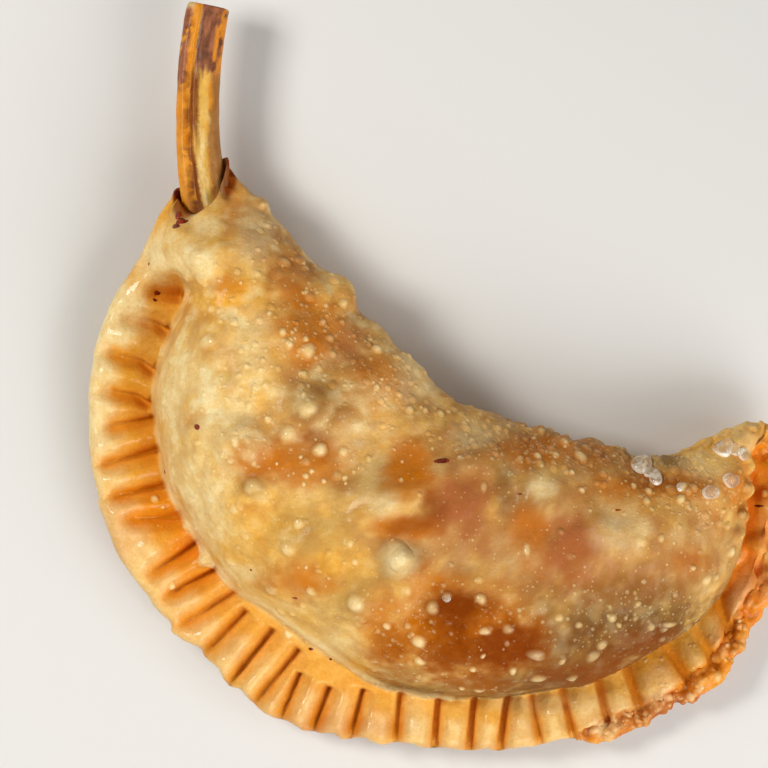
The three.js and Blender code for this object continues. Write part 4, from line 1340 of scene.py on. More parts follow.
@dataclass(frozen=True)
class DoughFinish:
    """Fried dough: cream to gold, browned in patches, blistered and lightly oiled."""

    name: str = "fried_dough"
    cream: tuple = srgb(236, 197, 120)
    gold: tuple = srgb(241, 178, 60)
    tan: tuple = srgb(188, 134, 76)
    orange: tuple = srgb(232, 148, 30)
    rust: tuple = srgb(244, 138, 36)
    amber: tuple = srgb(200, 114, 10)
    brown: tuple = srgb(132, 58, 0)
    meat: tuple = srgb(174, 104, 58)
    # The grey field's colour, used mostly as painted shade.
    grey: tuple = srgb(116, 86, 44)
    pale: tuple = srgb(250, 230, 176)
    # The grooves' deeper orange, partly painted shade.
    crevice: tuple = srgb(230, 148, 28)
    scatter: float = 0.24
    scatter_mm: float = 1.2

    def material(self) -> bpy.types.Material:
        """Builds the material."""
        b = Board(self.name)
        cloud = b.grain(9.0, 3.0, 0.55)
        mottle = b.grain(2.4, 4.0, 0.62)
        speck = b.grain(0.6, 2.0, 0.5)
        pimples = b.attribute("pimples")
        small = self.domes(b, 1.7, 0.42, pimples)
        tiny = self.domes(b, 0.95, 0.38, 0.3 + 0.6 * pimples)
        base = b.tint(b.attribute("gold") + b.step(cloud, 0.4, 0.75, 0.3), self.cream, self.gold)
        patchy = 0.55 + 0.9 * mottle
        browned = ("tan", "orange", "rust", "grey", "meat", "amber", "brown")
        base = b.cover(base, [(b.attribute(key) * patchy, getattr(self, key)) for key in browned])
        base = b.cover(base, (
            (b.attribute("pale") * 0.85, self.pale),
            (b.math("MAXIMUM", small * 0.5, tiny * 0.42) * (1 - b.attribute("brown")), self.pale),
            (b.attribute("crevice") * 0.9, self.crevice),
        ))
        dark = b.step(0.5 - mottle, -0.2, 0.2, 0.2) + b.step(0.5 - speck, -0.2, 0.2, 0.07)
        grain = b.colour_of(*(1.04 - share * dark for share in (0.5, 0.9, 1.6)))
        base = b.tint(1.0, base, grain, "MULTIPLY")
        rough = 0.42 + 0.16 * speck - 0.1 * b.attribute("oil") + 0.14 * b.attribute("brown")
        normal = None
        for height, depth_mm in ((mottle, 0.28), (speck, 0.035), (small, 0.17), (tiny, 0.045)):
            normal = b.bump(height, depth_mm, normal)
        b.set(Base_Color=base, Roughness=rough, Normal=normal, Coat_Weight=0.45 * b.attribute("oil"))
        b.set(Coat_Roughness=0.1, IOR=1.42, Specular_IOR_Level=0.06)
        b.set(Subsurface_Weight=self.scatter, Subsurface_Scale=self.scatter_mm * MM)
        b.set(Subsurface_Radius=(1.0, 0.6, 0.25))
        return b.material

    @staticmethod
    def domes(b: Board, cell_mm: float, share: float, amount: Wire) -> Wire:
        """Tiny round blisters.

        Args:
            b: The board to build on.
            cell_mm: Mean distance between blisters.
            share: Largest radius, as a share of that distance.
            amount: How many of the places hold a blister, from 0 to 1.

        Returns:
            Height of the blisters, from 0 to 1.
        """
        sockets = {"Vector": b.place, "Scale": 1 / (cell_mm * MM)}
        distance = b.node("ShaderNodeTexVoronoi", {}, sockets, "Distance")
        lot = b.node("ShaderNodeTexVoronoi", {}, sockets, "Color")
        parts = b.node("ShaderNodeSeparateColor", {}, {0: lot}, 0)
        other = b.node("ShaderNodeSeparateColor", {}, {0: lot}, 1)
        radius = share * (0.35 + 0.65 * parts)
        inside = b.math("MAXIMUM", 1 - b.math("POWER", distance / radius, 2.0), 0.0)
        kept = b.step(amount - other, -0.02, 0.02)
        return b.math("POWER", inside, 1.3) * kept


@dataclass(frozen=True)
class BubbleFinish:
    """Thin glassy bubbles of dough: pale, wet and see-through in the middle."""

    colour: tuple = srgb(236, 216, 184)
    # Whiter colour of the brim, partly a painted bright rim.
    ring: tuple = srgb(250, 240, 222)

    def material(self) -> bpy.types.Material:
        """Builds the material."""
        b = Board("glassy_bubble")
        brim = b.attribute("brim")
        mottle = b.grain(1.9, 2.0, 0.5)
        foam = b.step(mottle, 0.48, 0.66, 0.4)
        # The brim is whiter and more opaque: partly the thin wall seen edge-on, partly a painted bright rim
        # of reflection.
        b.set(Base_Color=b.tint(brim * 0.8 + foam, self.colour, self.ring), Roughness=0.1 + 0.1 * mottle)
        b.set(Alpha=0.26 + 0.45 * brim + foam, Coat_Weight=0.9, Coat_Roughness=0.04, IOR=1.45)
        b.set(Normal=b.bump(mottle, 0.14))
        return b.material


@dataclass(frozen=True)
class ScrapFinish:
    """Dark red scraps of meat and juice at the bone's root, and scorched specks."""

    red: tuple = srgb(160, 50, 14)
    dark: tuple = srgb(96, 34, 14)

    def material(self) -> bpy.types.Material:
        """Builds the material."""
        b = Board("meat_scrap")
        lump = b.grain(1.1, 3.0, 0.6)
        b.set(Base_Color=b.tint(b.step(lump, 0.4, 0.62), self.dark, self.red), Roughness=0.22 + 0.25 * lump)
        b.set(Normal=b.bump(lump, 0.5), Coat_Weight=0.15, Coat_Roughness=0.15, Specular_IOR_Level=0.2)
        return b.material


@dataclass(frozen=True)
class BoneFinish:
    """Roasted bone: orange ridges, a brown groove darkened with painted shade, a pale strip and a dark end.
    """

    amber: tuple = srgb(234, 146, 26)
    pale: tuple = srgb(226, 176, 82)
    cream: tuple = srgb(234, 204, 138)
    grey: tuple = srgb(158, 102, 48)
    brown: tuple = srgb(126, 56, 0)
    dark: tuple = srgb(104, 58, 46)
    purple: tuple = srgb(164, 98, 70)

    def material(self) -> bpy.types.Material:
        """Builds the material."""
        b = Board("roasted_bone")
        here, down = b.attribute("side"), b.attribute("along")
        place = b.node("ShaderNodeCombineXYZ", {}, {0: here, 1: down * 0.06})
        streak = b.node("ShaderNodeTexNoise", {}, {"Vector": place, "Scale": 3.2, "Detail": 4.0}, "Fac")
        cloud, fine = b.grain(3.4, 3.0, 0.5, 0.6), b.grain(1.1, 3.0, 0.6)
        side = here + (cloud - 0.5) * 0.35 + (fine - 0.5) * 0.2
        along = down + (streak - 0.5) * 9.0
        lower, root = b.step(along, 12.5, 15.5), b.step(along, 18.0, 34.0)
        middle = b.step(side, -0.56, -0.36) * b.step(0.0 - side, -0.22, 0.04) * lower
        rooted = b.step(side, -0.52, -0.38) * b.step(0.0 - side, 0.08, 0.24) * b.step(along, 29.0, 33.0)
        # Painted shade along the groove, darker towards the root.
        painted_groove_shade = b.attribute("groove") * lower * b.step(1.1 - cloud, 0.4, 0.7)
        left = b.step(-0.66 - side, -0.06, 0.12)
        scorch = b.tint(b.step(cloud * 0.5 + streak * 0.5, 0.4, 0.6), self.dark, self.purple)
        base = b.cover(b.tint(b.step(streak, 0.4, 0.65, 0.35), self.amber, self.pale), (
            (b.step(side, -0.4, -0.16), self.pale),
            (b.step(streak, 0.42, 0.58, 0.9) * root * b.step(side, -0.24, 0.1), self.cream),
            (b.step(side, 0.42, 0.62, 0.8) * b.step(1.0 - streak, 0.42, 0.6), self.amber),
            (b.step(side + 0.2 * root, 0.6, 0.85, 0.9) * lower, self.grey),
            (middle * b.step(26.0 - along, -4.0, 2.0, 0.95) * (0.6 + 0.7 * cloud), self.brown),
            (rooted * (0.5 + 0.7 * cloud), self.brown),
            (painted_groove_shade * 0.9, self.brown),
            (painted_groove_shade * b.step(along, 26.0, 32.0, 0.6), self.dark),
            (b.step(side, -0.36, -0.22) * (1 - lower) * 0.95, scorch),
            (b.step(here, 0.6, 0.75) * b.step(streak, 0.4, 0.52, 0.85) * (1 - lower), self.amber),
            (left * b.step(17.0 - along, -1.5, 1.5) * b.step(cloud, 0.34, 0.46, 0.9), scorch),
            (left * b.step(1.2 - down, -0.6, 0.6, 0.7), self.cream),
        ))
        shade = 0.88 + b.step(fine, 0.3, 0.7, 0.12) + b.step(streak, 0.3, 0.7, 0.12)
        base = b.tint(1.0, base, b.colour_of(shade, shade, shade), "MULTIPLY")
        normal = b.bump(streak * 2.0 + fine, 0.25)
        b.set(Base_Color=base, Roughness=0.38 + 0.25 * fine, Normal=normal, Coat_Weight=0.12)
        b.set(Coat_Roughness=0.2, Specular_IOR_Level=0.1)
        b.set(Subsurface_Weight=0.12, Subsurface_Scale=1.5 * MM, Subsurface_Radius=(1.0, 0.5, 0.25))
        return b.material


@dataclass(frozen=True)
class FloorFinish:
    """A plain pale floor."""

    colour: tuple = srgb(226, 224, 220)

    def material(self) -> bpy.types.Material:
        """Builds the material."""
        b = Board("pale_floor")
        b.set(Base_Color=self.colour, Roughness=0.7)
        return b.material


class Mould:
    """A closed cap of unit radius, cut from a ball, that blisters are copied from."""

    def __init__(self, segments: int, rings: int) -> None:
        """Cuts the cap.

        Args:
            segments: Corners of each ring.
            rings: Rings from its top to its edge.
        """
        Bench.clear_selection()
        bpy.ops.mesh.primitive_uv_sphere_add(segments=segments, ring_count=2 * rings, radius=1)
        ball = bpy.context.object
        bpy.ops.object.mode_set(mode="EDIT")
        bpy.ops.mesh.select_all(action="SELECT")
        bpy.ops.mesh.bisect(plane_co=(0, 0, 0), plane_no=(0, 0, 1), clear_inner=True, use_fill=True)
        bpy.ops.object.mode_set(mode="OBJECT")
        corners = np.array([v.co[:] for v in ball.data.vertices])
        order = np.lexsort(np.round(corners, 5).T)
        place = np.argsort(order)
        self.corners = corners[order]
        self.faces = sorted(self.from_lowest(place[face.vertices].tolist()) for face in ball.data.polygons)
        bpy.data.objects.remove(ball)

    @staticmethod
    def from_lowest(face: list[int]) -> tuple[int, ...]:
        """The corners of a face, from its lowest number on, so that each run makes the same mesh."""
        start = face.index(min(face))
        return tuple(face[start:] + face[:start])


@dataclass(frozen=True)
class Blister:
    """One blister: its picture place and width in pixels, how it rises, how pale it is, and its edge.

    The rise is a share of the radius. An edge of 0.5 is round like a ball's, and a larger one softer.
    The tall is its height in the picture where that isn't its width.
    """

    px: float
    py: float
    wide: float
    rise: float = 0.5
    pale: float = 0.6
    edge: float = 1.5
    tall: float = 0.0


class DoughSurface:
    """The finished dough's surface, for the pieces that sit on it."""

    def __init__(self, net: DoughMesh) -> None:
        """Keeps the net's points, directions and colours where they can be looked up."""
        self.net = net
        rows, columns = net.points.shape[:2]
        index = np.arange(rows * columns).reshape(rows, columns)
        beside = np.roll(index, -1, axis=1)
        self.faces = np.stack([index[:-1], beside[:-1], beside[1:], index[1:]], axis=-1).reshape(-1, 4)
        self.corners = net.points.reshape(-1, 3)
        self.out = net.normals(net.points).reshape(-1, 3)
        self.tints = np.stack([net.tints[tint].ravel() for tint in Tint])
        self.tree = BVHTree.FromPolygons(self.corners.tolist(), self.faces.tolist())

    def look(self, px: float, py: float) -> tuple[Array, int]:
        """The point and the face that a place of the picture shows."""
        eye = VIEW.eye()
        aim = Vector((*VIEW.plan([(px, py)], VIEW.level)[0], VIEW.level))
        point, _, face, _ = self.tree.ray_cast(eye, aim - eye)
        if point is None:
            point, _, face, _ = self.tree.find_nearest(aim)
        return np.array(point), face

    def drape(self, places: Array) -> tuple[Array, Array]:
        """The nearest points of the surface, and the colour fields there."""
        found = [self.tree.find_nearest(place) for place in places.tolist()]
        corners = self.faces[[hit[2] for hit in found]]
        return np.array([hit[0][:] for hit in found]), self.tints[:, corners].mean(axis=2)


@dataclass
class CapField:
    """Many caps that are gathered into one mesh."""

    surface: DoughSurface
    corners: list[Array] = field(default_factory=list)
    faces: list[tuple[int, ...]] = field(default_factory=list)
    tints: list[Array] = field(default_factory=list)
    brims: list[Array] = field(default_factory=list)
    count: int = 0
    ragged: float = 0.0
    least_shown: float = 0.7
    sunk_edge: tuple[float, float] = (0.99, 0.02)
    lowest: float = 0.05

    def half_size(self, pixels: float, way: Array) -> float:
        """Half of a size in the picture, in millimetres along a direction seen at a slant."""
        return pixels / VIEW.px_per_mm / 2 / max(self.least_shown, float(np.hypot(*way[:2])))

    def add(self, mould: Mould, blister: Blister, place: Array, face: int, turn: float) -> None:
        """Sets one cap on the surface.

        Args:
            mould: The cap to copy.
            blister: Its sizes and paleness.
            place: Its centre in millimetres.
            face: The surface's face there.
            turn: An angle that sets how uneven it is.
        """
        picked = self.surface.faces[face]
        out = self.surface.out[picked].mean(axis=0)
        out /= np.linalg.norm(out)
        across = np.cross((0.0, 1.0, 0.0), out)
        across /= np.linalg.norm(across)
        up = np.cross(out, across)
        x, y = mould.corners[:, 0], mould.corners[:, 1]
        angle = np.arctan2(y, x)
        radial = np.minimum(np.hypot(x, y), 1.0)
        uneven = 0.07 * np.sin(2 * angle + turn) + 0.05 * np.sin(3 * angle + 2.1 * turn)
        torn = np.sin(2 * angle + 5 * turn) + 0.6 * np.sin(3 * angle + 3.7 * turn)
        uneven = 1 + uneven + self.ragged * torn
        half = self.half_size(blister.wide, across)
        half_up = self.half_size(blister.tall or blister.wide, up)
        flat = place + np.outer(x * uneven * half, across) + np.outer(y * uneven * half_up, up)
        rise = blister.rise * min(half, half_up) * (1 - radial**2) ** blister.edge
        rise = np.where(radial > self.sunk_edge[0], -self.sunk_edge[1], rise)
        draped, under = self.surface.drape(flat)
        made = draped + rise[:, None] * out
        made[:, 2] = np.maximum(made[:, 2], self.lowest)
        self.faces += [tuple(self.count + i for i in corner) for corner in mould.faces]
        self.corners.append(made)
        self.count += len(radial)
        self.tints.append(self.colours(under, blister, radial))
        self.brims.append(ease(0.8, 0.97, radial))

    @staticmethod
    def colours(under: Array, blister: Blister, radial: Array) -> Array:
        """Colour fields of one cap, from those of the dough under it."""
        top = 1 - ease(0.2, 0.95, radial)
        made = under.copy()
        for row, tint in enumerate(Tint):
            if tint is Tint.PALE:
                made[row] = np.maximum(made[row], min(1.0, 1.15 * blister.pale) * top)
            elif tint is Tint.OIL:
                made[row] = np.maximum(made[row], top)
            elif tint is not Tint.GOLD:
                made[row] *= 1 - min(0.6, 1.2 * blister.pale) * top
        return made

    def build(self, name: str, material: bpy.types.Material, slot: str, shift: Shift) -> None:
        """Makes one piece of all the caps."""
        Bench.clear_selection()
        mesh = bpy.data.meshes.new(name)
        mesh.from_pydata(shift.place(np.concatenate(self.corners)).tolist(), [], self.faces)
        fields = dict(zip([tint.value for tint in Tint], np.concatenate(self.tints, axis=1)))
        fields["brim"] = np.concatenate(self.brims)
        for key, values in fields.items():
            mesh.attributes.new(key, "FLOAT", "POINT").data.foreach_set("value", values.astype(np.float32))
        piece = bpy.data.objects.new(name, mesh)
        bpy.context.scene.collection.objects.link(piece)
        piece.select_set(True)
        bpy.context.view_layer.objects.active = piece
        bpy.ops.object.shade_smooth_by_angle(angle=math.radians(60))
        Bench.clear_selection()
        Bench.finish(piece, material, slot)


@dataclass
class DoughPocket:
    """The folded and crimped dough."""

    form: DoughForm
    bone: BoneForm
    shift: Shift

    def build(self, material: bpy.types.Material) -> DoughMesh:
        """Makes the piece and returns its net, for what sits on it."""
        net = DoughMesh(self.form, self.bone)
        lining, tip = net.lining(), net.tip()
        points = np.concatenate([lining, net.points, tip])
        fields = {}
        for tint, values in net.tints.items():
            before = np.repeat(values[:1], len(lining), axis=0)
            # Painted shade: the lining darkens to brown and amber inside the bone's socket.
            if tint in (Tint.BROWN, Tint.AMBER):
                before = np.maximum(before, (1 - ease(-2, 0, np.arange(len(lining)) - len(lining)))[:, None])
            after = np.repeat(values[-1:], len(tip), axis=0)
            fields[tint.value] = np.concatenate([before, values, after])
        piece = Bench.net("dough", self.shift.place(points), fields)
        Bench.finish(piece, material, "fried_dough", "pastry")
        return net


SHOWN_BLISTERS = many(
    Blister,
    (208, 342, 21), (288, 344, 13, 0.6), (307, 351, 20, 0.55), (282, 332, 10), (329, 338, 10, 0.4, 0.3),
    (322, 322, 9, 0.4, 0.3), (318, 368, 9, 0.4, 0.4), (303, 374, 10, 0.5, 0.4),
    (306, 409, 29, 0.3, 0.6, 1.7), (303, 395, 8), (287, 434, 20, 0.5, 0.7, 1.25, 23),
    (319, 450, 21, 0.55, 0.8, 1.25, 17), (267, 419, 10, 0.4), (265, 385, 10, 0.3, 0.6, 1.7), (253, 391, 7),
    (247, 405, 8), (260, 370, 9, 0.4), (246, 366, 8), (240, 350, 8), (258, 320, 10, 0.35, 0.6, 1.7),
    (254, 344, 8, 0.4), (238, 375, 9, 0.35), (226, 400, 9, 0.35), (234, 441, 12, 0.5, 0.7, 1.4, 20),
    (248, 455, 25, 0.22, 0.3, 1.7), (246, 440, 10, 0.4, 0.3), (253, 463, 10, 0.4, 0.4),
    (197, 458, 14, 0.35, 0.5, 1.5, 22), (172, 471, 13, 0.4), (172, 440, 14, 0.25, 0.6, 1.7), (196, 443, 7),
    (214, 489, 13, 0.35), (229, 461, 9), (221, 456, 9), (252, 487, 23, 0.4, 0.35, 1.4), (305, 476, 9),
    (311, 471, 7), (303, 484, 6), (323, 481, 7), (344, 478, 8, 0.4), (376, 349, 12), (376, 387, 9),
    (396, 357, 9, 0.4), (370, 340, 7), (300, 457, 6), (185, 355, 12, 0.25, 0.6, 1.7), (185, 339, 6),
    (220, 321, 6), (262, 360, 7), (399, 560, 40, 0.42, 0.65, 0.85), (354, 562, 9, 0.4),
    (355, 604, 24, 0.4, 0.8), (446, 596, 13, 0.6, 0.2, 1.25), (432, 608, 17, 0.5, 0.4, 1.25),
    (480, 599, 15, 0.45, 0.5, 1.4), (392, 541, 7), (405, 591, 14, 0.3, 0.4, 1.7),
    (478, 580, 10, 0.3, 0.3, 1.7), (483, 487, 9, 0.3, 0.3, 1.7, 14), (537, 456, 10), (555, 455, 9),
    (580, 457, 15), (497, 428, 10, 0.4, 0.3), (541, 431, 10, 0.5, 0.3), (564, 442, 12, 0.5, 0.3),
    (571, 472, 7), (581, 490, 8), (526, 550, 9, 0.3, 0.5, 1.7, 20), (287, 549, 18, 0.45, 0.6, 1.25),
    (298, 524, 14, 0.35, 0.6, 1.4), (310, 592, 12, 0.3), (386, 626, 10, 0.5, 0.6, 1.25),
    (418, 642, 17, 0.3, 0.7, 1.7), (419, 661, 13, 0.3), (484, 631, 16, 0.5, 0.5, 1.4, 12),
    (507, 629, 16, 0.35, 0.3, 1.5, 13), (472, 669, 9, 0.6), (482, 656, 7), (512, 671, 10),
    (535, 655, 24, 0.4, 0.35, 1.4, 16), (537, 677, 22, 0.45, 0.4, 1.4, 13),
    (571, 677, 16, 0.5, 0.4, 1.4, 12), (561, 661, 10, 0.5, 0.4), (558, 618, 12, 0.3, 0.4, 1.7),
    (578, 625, 10, 0.4, 0.4), (611, 618, 13, 0.4, 0.4), (618, 625, 8, 0.5, 0.4),
    (601, 645, 14, 0.35, 0.35), (592, 656, 17, 0.3, 0.3), (478, 690, 15, 0.5, 0.5, 1.4, 7), (461, 688, 8),
    (637, 604, 9, 0.4, 0.4), (650, 627, 12, 0.35, 0.4), (668, 625, 20, 0.3, 0.4, 1.5, 9),
    (648, 491, 9, 0.6), (633, 486, 8), (682, 487, 12), (680, 499, 12, 0.4), (646, 501, 10, 0.4),
    (692, 568, 8), (640, 541, 15, 0.2, 0.5, 1.7), (730, 552, 15, 0.4, 0.8), (706, 580, 14, 0.3, 0.5),
    (715, 577, 9, 0.5, 0.5), (154, 499, 10, 0.6, 0.7, 1.4), (162, 507, 6, 0.6),
    (186, 525, 14, 0.4, 0.4, 1.4), (204, 560, 21, 0.45, 0.4, 1.4), (171, 586, 10, 0.6, 0.9, 1.4),
    (288, 634, 13, 0.6, 1, 1.4), (764, 493, 9, 0.6), (738, 621, 9, 0.6, 0.8, 1.4),
    (668, 697, 12, 0.6, 0.5, 1.25), (690, 697, 15, 0.5, 0.7, 1.4), (701, 682, 13, 0.5, 0.2),
    (716, 677, 14, 0.45, 0.5, 1.4, 17), (605, 727, 17, 0.4, 0.6, 1.5, 10), (645, 714, 10),
    (655, 706, 10, 0.5, 0.3), (722, 655, 14, 0.4, 0.2), (740, 640, 13, 0.4, 0.3),
    (745, 458, 13, 0.6, 0.2, 1.25), (744, 487, 14, 0.6, 0.2, 1.4), (741, 514, 12, 0.5, 0.3),
    (751, 428, 10, 0.6, 0.3), (735, 433, 9, 0.5, 0.2), (716, 438, 9, 0.5, 0.4),
    (262, 205, 10, 0.6, 0.4, 1.4), (215, 342, 6), (204, 284, 9, 0.3), (195, 256, 21, 0.25, 0.9, 1.7),
)


@dataclass(frozen=True)
class Scatter:
    """Small blisters strewn over a part of the dough: how many, how large, and where round the section."""

    count: int
    radius: tuple[float, float]
    along: tuple[float, float]
    around: tuple[float, float]
    pale: float
    seed: int
    by_pimples: bool = False


SCATTERS = (
    Scatter(480, (0.3, 1.1), (0.1, 0.98), (2.1, 4.0), 0.26, 11, True),
    Scatter(90, (0.4, 1.1), (0.2, 0.95), (2.1, 4.0), 0.4, 12),
    Scatter(130, (0.4, 1.1), (0.44, 0.9), (1.99, 2.1), 0.3, 13),
    Scatter(150, (0.5, 1.5), (0.14, 0.45), (2.2, 3.7), 0.6, 17),
    Scatter(120, (0.5, 1.4), (0.12, 0.9), (3.4, 4.0), 0.2, 14),
    Scatter(60, (0.5, 1.2), (0.86, 0.99), (0.3, 1.5), 0.25, 15),
    Scatter(170, (0.5, 1.9), (0.1, 0.96), (4.1, 5.7), 0.3, 16),
)


@dataclass
class BlisterCrop:
    """The blisters that stand out crisply on the dough."""

    shift: Shift
    seed: int = 3
    large_px: float = 20.0
    rise: tuple[float, float] = (0.3, 0.25)
    lip_seed: int = 31
    lip_count: int = 70
    lip_span: tuple[float, float] = (0.6, 1.8)
    lip_reach: tuple[float, float] = (2, 17)
    lip_way: tuple[float, float] = (0.45, 0.89)
    lip_wide: tuple[float, float] = (6.0, 15.0)

    def build(self, surface: DoughSurface, material: bpy.types.Material) -> None:
        """Makes the large blisters of the picture and the small strewn ones."""
        fine, plain, small = Mould(28, 8), Mould(16, 5), Mould(10, 4)
        caps = CapField(surface)
        dice = Dice(self.seed)
        for blister in SHOWN_BLISTERS:
            mould = fine if blister.wide > self.large_px else plain
            caps.add(mould, blister, *surface.look(blister.px, blister.py), dice.roll() * TURN)
        for scatter in SCATTERS:
            self.strew(caps, small, scatter)
        self.strew_lip(caps, small)
        caps.build("blisters", material, "fried_dough", self.shift)

    def strew(self, caps: CapField, mould: Mould, scatter: Scatter) -> None:
        """Strews one kind of small blister."""
        net, dice = caps.surface.net, Dice(scatter.seed)
        columns = len(net.q)
        made = 0
        while made < scatter.count:
            u = mix(*scatter.along, dice.roll())
            q = mix(*scatter.around, dice.roll())
            row = min(int(np.searchsorted(net.u, u)), len(net.u) - 2)
            column = int(np.searchsorted(net.q, q)) % columns
            lot, size, turn = dice.roll(), dice.roll(), dice.roll()
            if scatter.by_pimples and lot > 0.04 + net.tints[Tint.PIMPLES][row, column]:
                continue
            wide = 2 * mix(*scatter.radius, size**3) * VIEW.px_per_mm
            rise = self.rise[0] + self.rise[1] * lot
            blister = Blister(0, 0, wide, rise, scatter.pale * turn)
            caps.add(mould, blister, net.points[row, column], row * columns + column, turn * TURN)
            made += 1

    def strew_lip(self, caps: CapField, mould: Mould) -> None:
        """Strews the lower layer of dough that sticks out at the lower right."""
        dice = Dice(self.lip_seed)
        corners = np.array(KEY_ENDS, float)
        for _ in range(self.lip_count):
            place = self.lip_span[0] + dice.roll() * (len(corners) - self.lip_span[1])
            first = int(place)
            on_line = mix(corners[first], corners[first + 1], place - first)
            off = self.lip_reach[0] + self.lip_reach[1] * dice.roll()
            px, py = on_line + off * np.array(self.lip_way)
            wide = mix(*self.lip_wide, dice.roll() ** 2)
            blister = Blister(px, py, wide, 0.6, 0.4 * dice.roll(), 1.3)
            caps.add(mould, blister, *caps.surface.look(px, py), dice.roll() * TURN)


@dataclass(frozen=True)
class PlacedCaps:
    """Caps of one kind that sit at places of the picture: their name, mould, seed and raggedness."""

    name: str
    places: tuple[Blister, ...]
    mould: tuple[int, int]
    seed: int
    ragged: float = 0.0

    def build(self, surface: DoughSurface, material: bpy.types.Material, shift: Shift) -> None:
        """Makes the piece."""
        mould, dice, caps = Mould(*self.mould), Dice(self.seed), CapField(surface, ragged=self.ragged)
        for cap in self.places:
            caps.add(mould, cap, *surface.look(cap.px, cap.py), dice.roll() * TURN)
        caps.build(self.name, material, "fried_dough", shift)


GLASSY_BUBBLES = PlacedCaps("glassy_bubbles", many(
    Blister,
    (641, 466, 21, 0.9, 0.6, 0.5), (655, 478, 14, 0.9, 0.6, 0.5), (649, 473, 11, 0.9, 0.6, 0.5),
    (722, 448, 22, 0.7, 0.6, 0.5, 17), (734, 450, 12, 0.8, 0.6, 0.5), (741, 454, 10, 0.8, 0.6, 0.5, 15),
    (730, 480, 16, 0.85, 0.6, 0.5), (710, 492, 16, 0.85, 0.6, 0.5), (680, 487, 9, 0.8, 0.6, 0.5),
    (446, 597, 10, 0.8, 0.6, 0.5),
), (28, 9), 5)

MEAT_SCRAPS = PlacedCaps("meat_scraps", many(
    Blister,
    (177, 203, 10, 0.4, 0, 1.4, 15), (180, 209, 13, 0.4, 0, 1.4, 9), (185, 213, 11, 0.4, 0, 1.4, 8),
    (178, 215, 8, 0.4, 0, 1.4, 9), (181, 221, 15, 0.3, 0, 1.4, 7), (175, 226, 9, 0.3, 0, 1.4, 6),
    (441, 461, 14, 0.25, 0, 0.6, 6), (196, 427, 6, 0.6, 0.6, 0.6), (156, 293, 6, 0.3, 0.6, 0.6),
    (154, 300, 4, 0.3, 0.6, 0.6), (148, 264, 3, 0.3, 0.6, 0.6), (310, 649, 5, 0.3, 0, 0.6, 3),
    (330, 659, 3, 0.3, 0.6, 0.6), (294, 598, 5, 0.3, 0, 0.6, 3), (250, 570, 2.5, 0.3, 0.6, 0.6),
    (219, 526, 2.5, 0.3, 0.6, 0.6), (617, 510, 6, 0.3, 0, 0.6, 2), (519, 494, 4, 0.3, 0, 0.6, 2),
    (758, 506, 9, 0.3, 0, 0.6, 3), (164, 472, 2.5, 0.3, 0, 0.6, 5),
), (18, 5), 9, 0.1)


@dataclass
class RibBone:
    """The rib bone that stands out of the mouth."""

    form: BoneForm
    shift: Shift
    sides: int = 96
    rings: int = 150
    bevel: float = 0.6

    def build(self, material: bpy.types.Material) -> None:
        """Makes the piece."""
        angle = np.arange(self.sides) / self.sides * TURN
        length, bevel, quarter = self.form.length, self.bevel, np.linspace(0, math.pi / 2, 5)
        shaft = np.linspace(1.5 * bevel, length - bevel, self.rings)
        along = np.concatenate([np.zeros(3), bevel * (1 - np.cos(quarter)), shaft, np.full(3, length)])
        inset = np.zeros_like(along)
        inset[:3] = (3.0, 2.0, 1.0)
        inset[3:8] = bevel * (1 - np.sin(quarter))
        inset[-3:] = (bevel, 1.5, 2.8)
        grid_along = along[:, None] + 0 * angle
        grid_angle = angle + 0 * along[:, None]
        points = self.form.around(grid_along, grid_angle, -inset[:, None] + 0 * angle)
        rough = 0.16 * ripple(points * np.array([1, 0.25, 1]), 1.8, 3, 11.0)
        points = self.form.around(grid_along, grid_angle, rough - inset[:, None])
        at, spread, _ = self.form.groove
        off = apart(grid_angle, at) / (1.3 * spread)
        fields = {
            "side": np.cos(grid_angle),
            "along": grid_along,
            # Where the groove's painted shade lies.
            "groove": np.exp(-off * off) * ease(8, 22, grid_along),
        }
        piece = Bench.net("bone", self.shift.place(points), fields)
        Bench.finish(piece, material, "cooked_bone", "rib_bone")


@dataclass(frozen=True)
class Lamp:
    """A soft square lamp: its place and size in metres, power and warmth."""

    name: str
    place: tuple[float, float, float]
    size: float
    power: float
    colour: tuple[float, float, float] = (1.0, 1.0, 1.0)


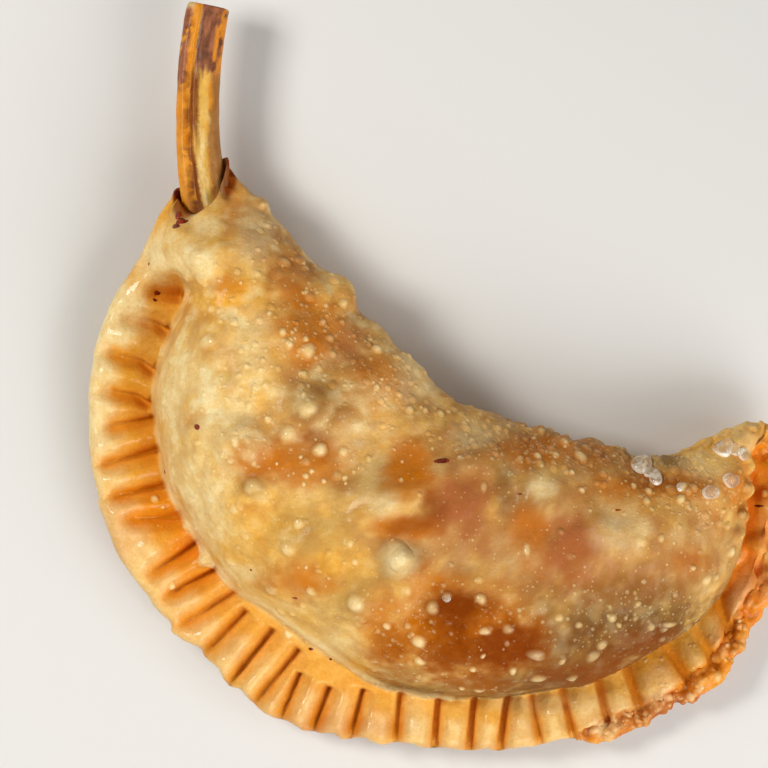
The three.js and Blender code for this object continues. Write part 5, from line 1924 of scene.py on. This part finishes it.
@dataclass
class Studio:
    """Floor, lamps and camera."""

    lamps: tuple[Lamp, ...] = (
        Lamp("key", (-0.41, 0.12, 0.5), 0.2, 2.5, (1.0, 0.98, 0.94)),
        Lamp("fill", (0.66, -0.28, 0.5), 0.6, 2.6),
        Lamp("front", (0.3, -0.56, 0.5), 0.5, 3.9),
    )
    floor_size: float = 4.0
    sky: float = 0.14

    def build(self) -> None:
        """Sets the stage round the object."""
        self.lay_floor()
        for lamp in self.lamps:
            self.hang(lamp)
        world = bpy.data.worlds.new("studio")
        bpy.context.scene.world = world
        world.use_nodes = True
        world.node_tree.nodes["Background"].inputs["Color"].default_value = (1, 1, 1, 1)
        world.node_tree.nodes["Background"].inputs["Strength"].default_value = self.sky
        bpy.context.scene.view_settings.view_transform = "Standard"
        self.set_camera()

    def lay_floor(self) -> None:
        """Adds the floor."""
        Bench.clear_selection()
        bpy.ops.mesh.primitive_plane_add(size=self.floor_size)
        floor = bpy.context.object
        floor.name = "floor"
        floor.data.materials.append(FloorFinish().material())

    def hang(self, lamp: Lamp) -> None:
        """Adds one lamp, turned to the object."""
        bpy.ops.object.light_add(type="AREA", location=lamp.place)
        light = bpy.context.object
        light.name = lamp.name
        light.data.size = lamp.size
        light.data.energy = lamp.power
        light.data.color = lamp.colour
        light.rotation_euler = (-Vector(lamp.place)).to_track_quat("-Z", "Y").to_euler()

    def set_camera(self) -> None:
        """Stands the camera straight above, as the photograph looks at the object."""
        x, y = (c * MM for c in VIEW.centre)
        height = (VIEW.distance + VIEW.level) * MM
        bpy.ops.object.camera_add(location=(x, y, height), rotation=(0, 0, 0))
        camera = bpy.context.object
        camera.data.sensor_width = 36.0
        frame_width = PICTURE_PX / VIEW.px_per_mm
        camera.data.lens = camera.data.sensor_width * VIEW.distance / frame_width
        bpy.context.scene.camera = camera


def main() -> None:
    """Builds the object and its stage."""
    logging.basicConfig(level=logging.INFO, format="%(name)s: %(message)s")
    bone_form = BoneForm()
    shift = Shift.from_bone(bone_form)
    dough = DoughFinish().material()
    surface = DoughSurface(DoughPocket(DoughForm(), bone_form, shift).build(dough))
    BlisterCrop(shift).build(surface, DoughFinish("blister_dough", scatter=0.0).material())
    GLASSY_BUBBLES.build(surface, BubbleFinish().material(), shift)
    MEAT_SCRAPS.build(surface, ScrapFinish().material(), shift)
    RibBone(bone_form, shift).build(BoneFinish().material())
    Studio().build()


if __name__ == "__main__":
    main()
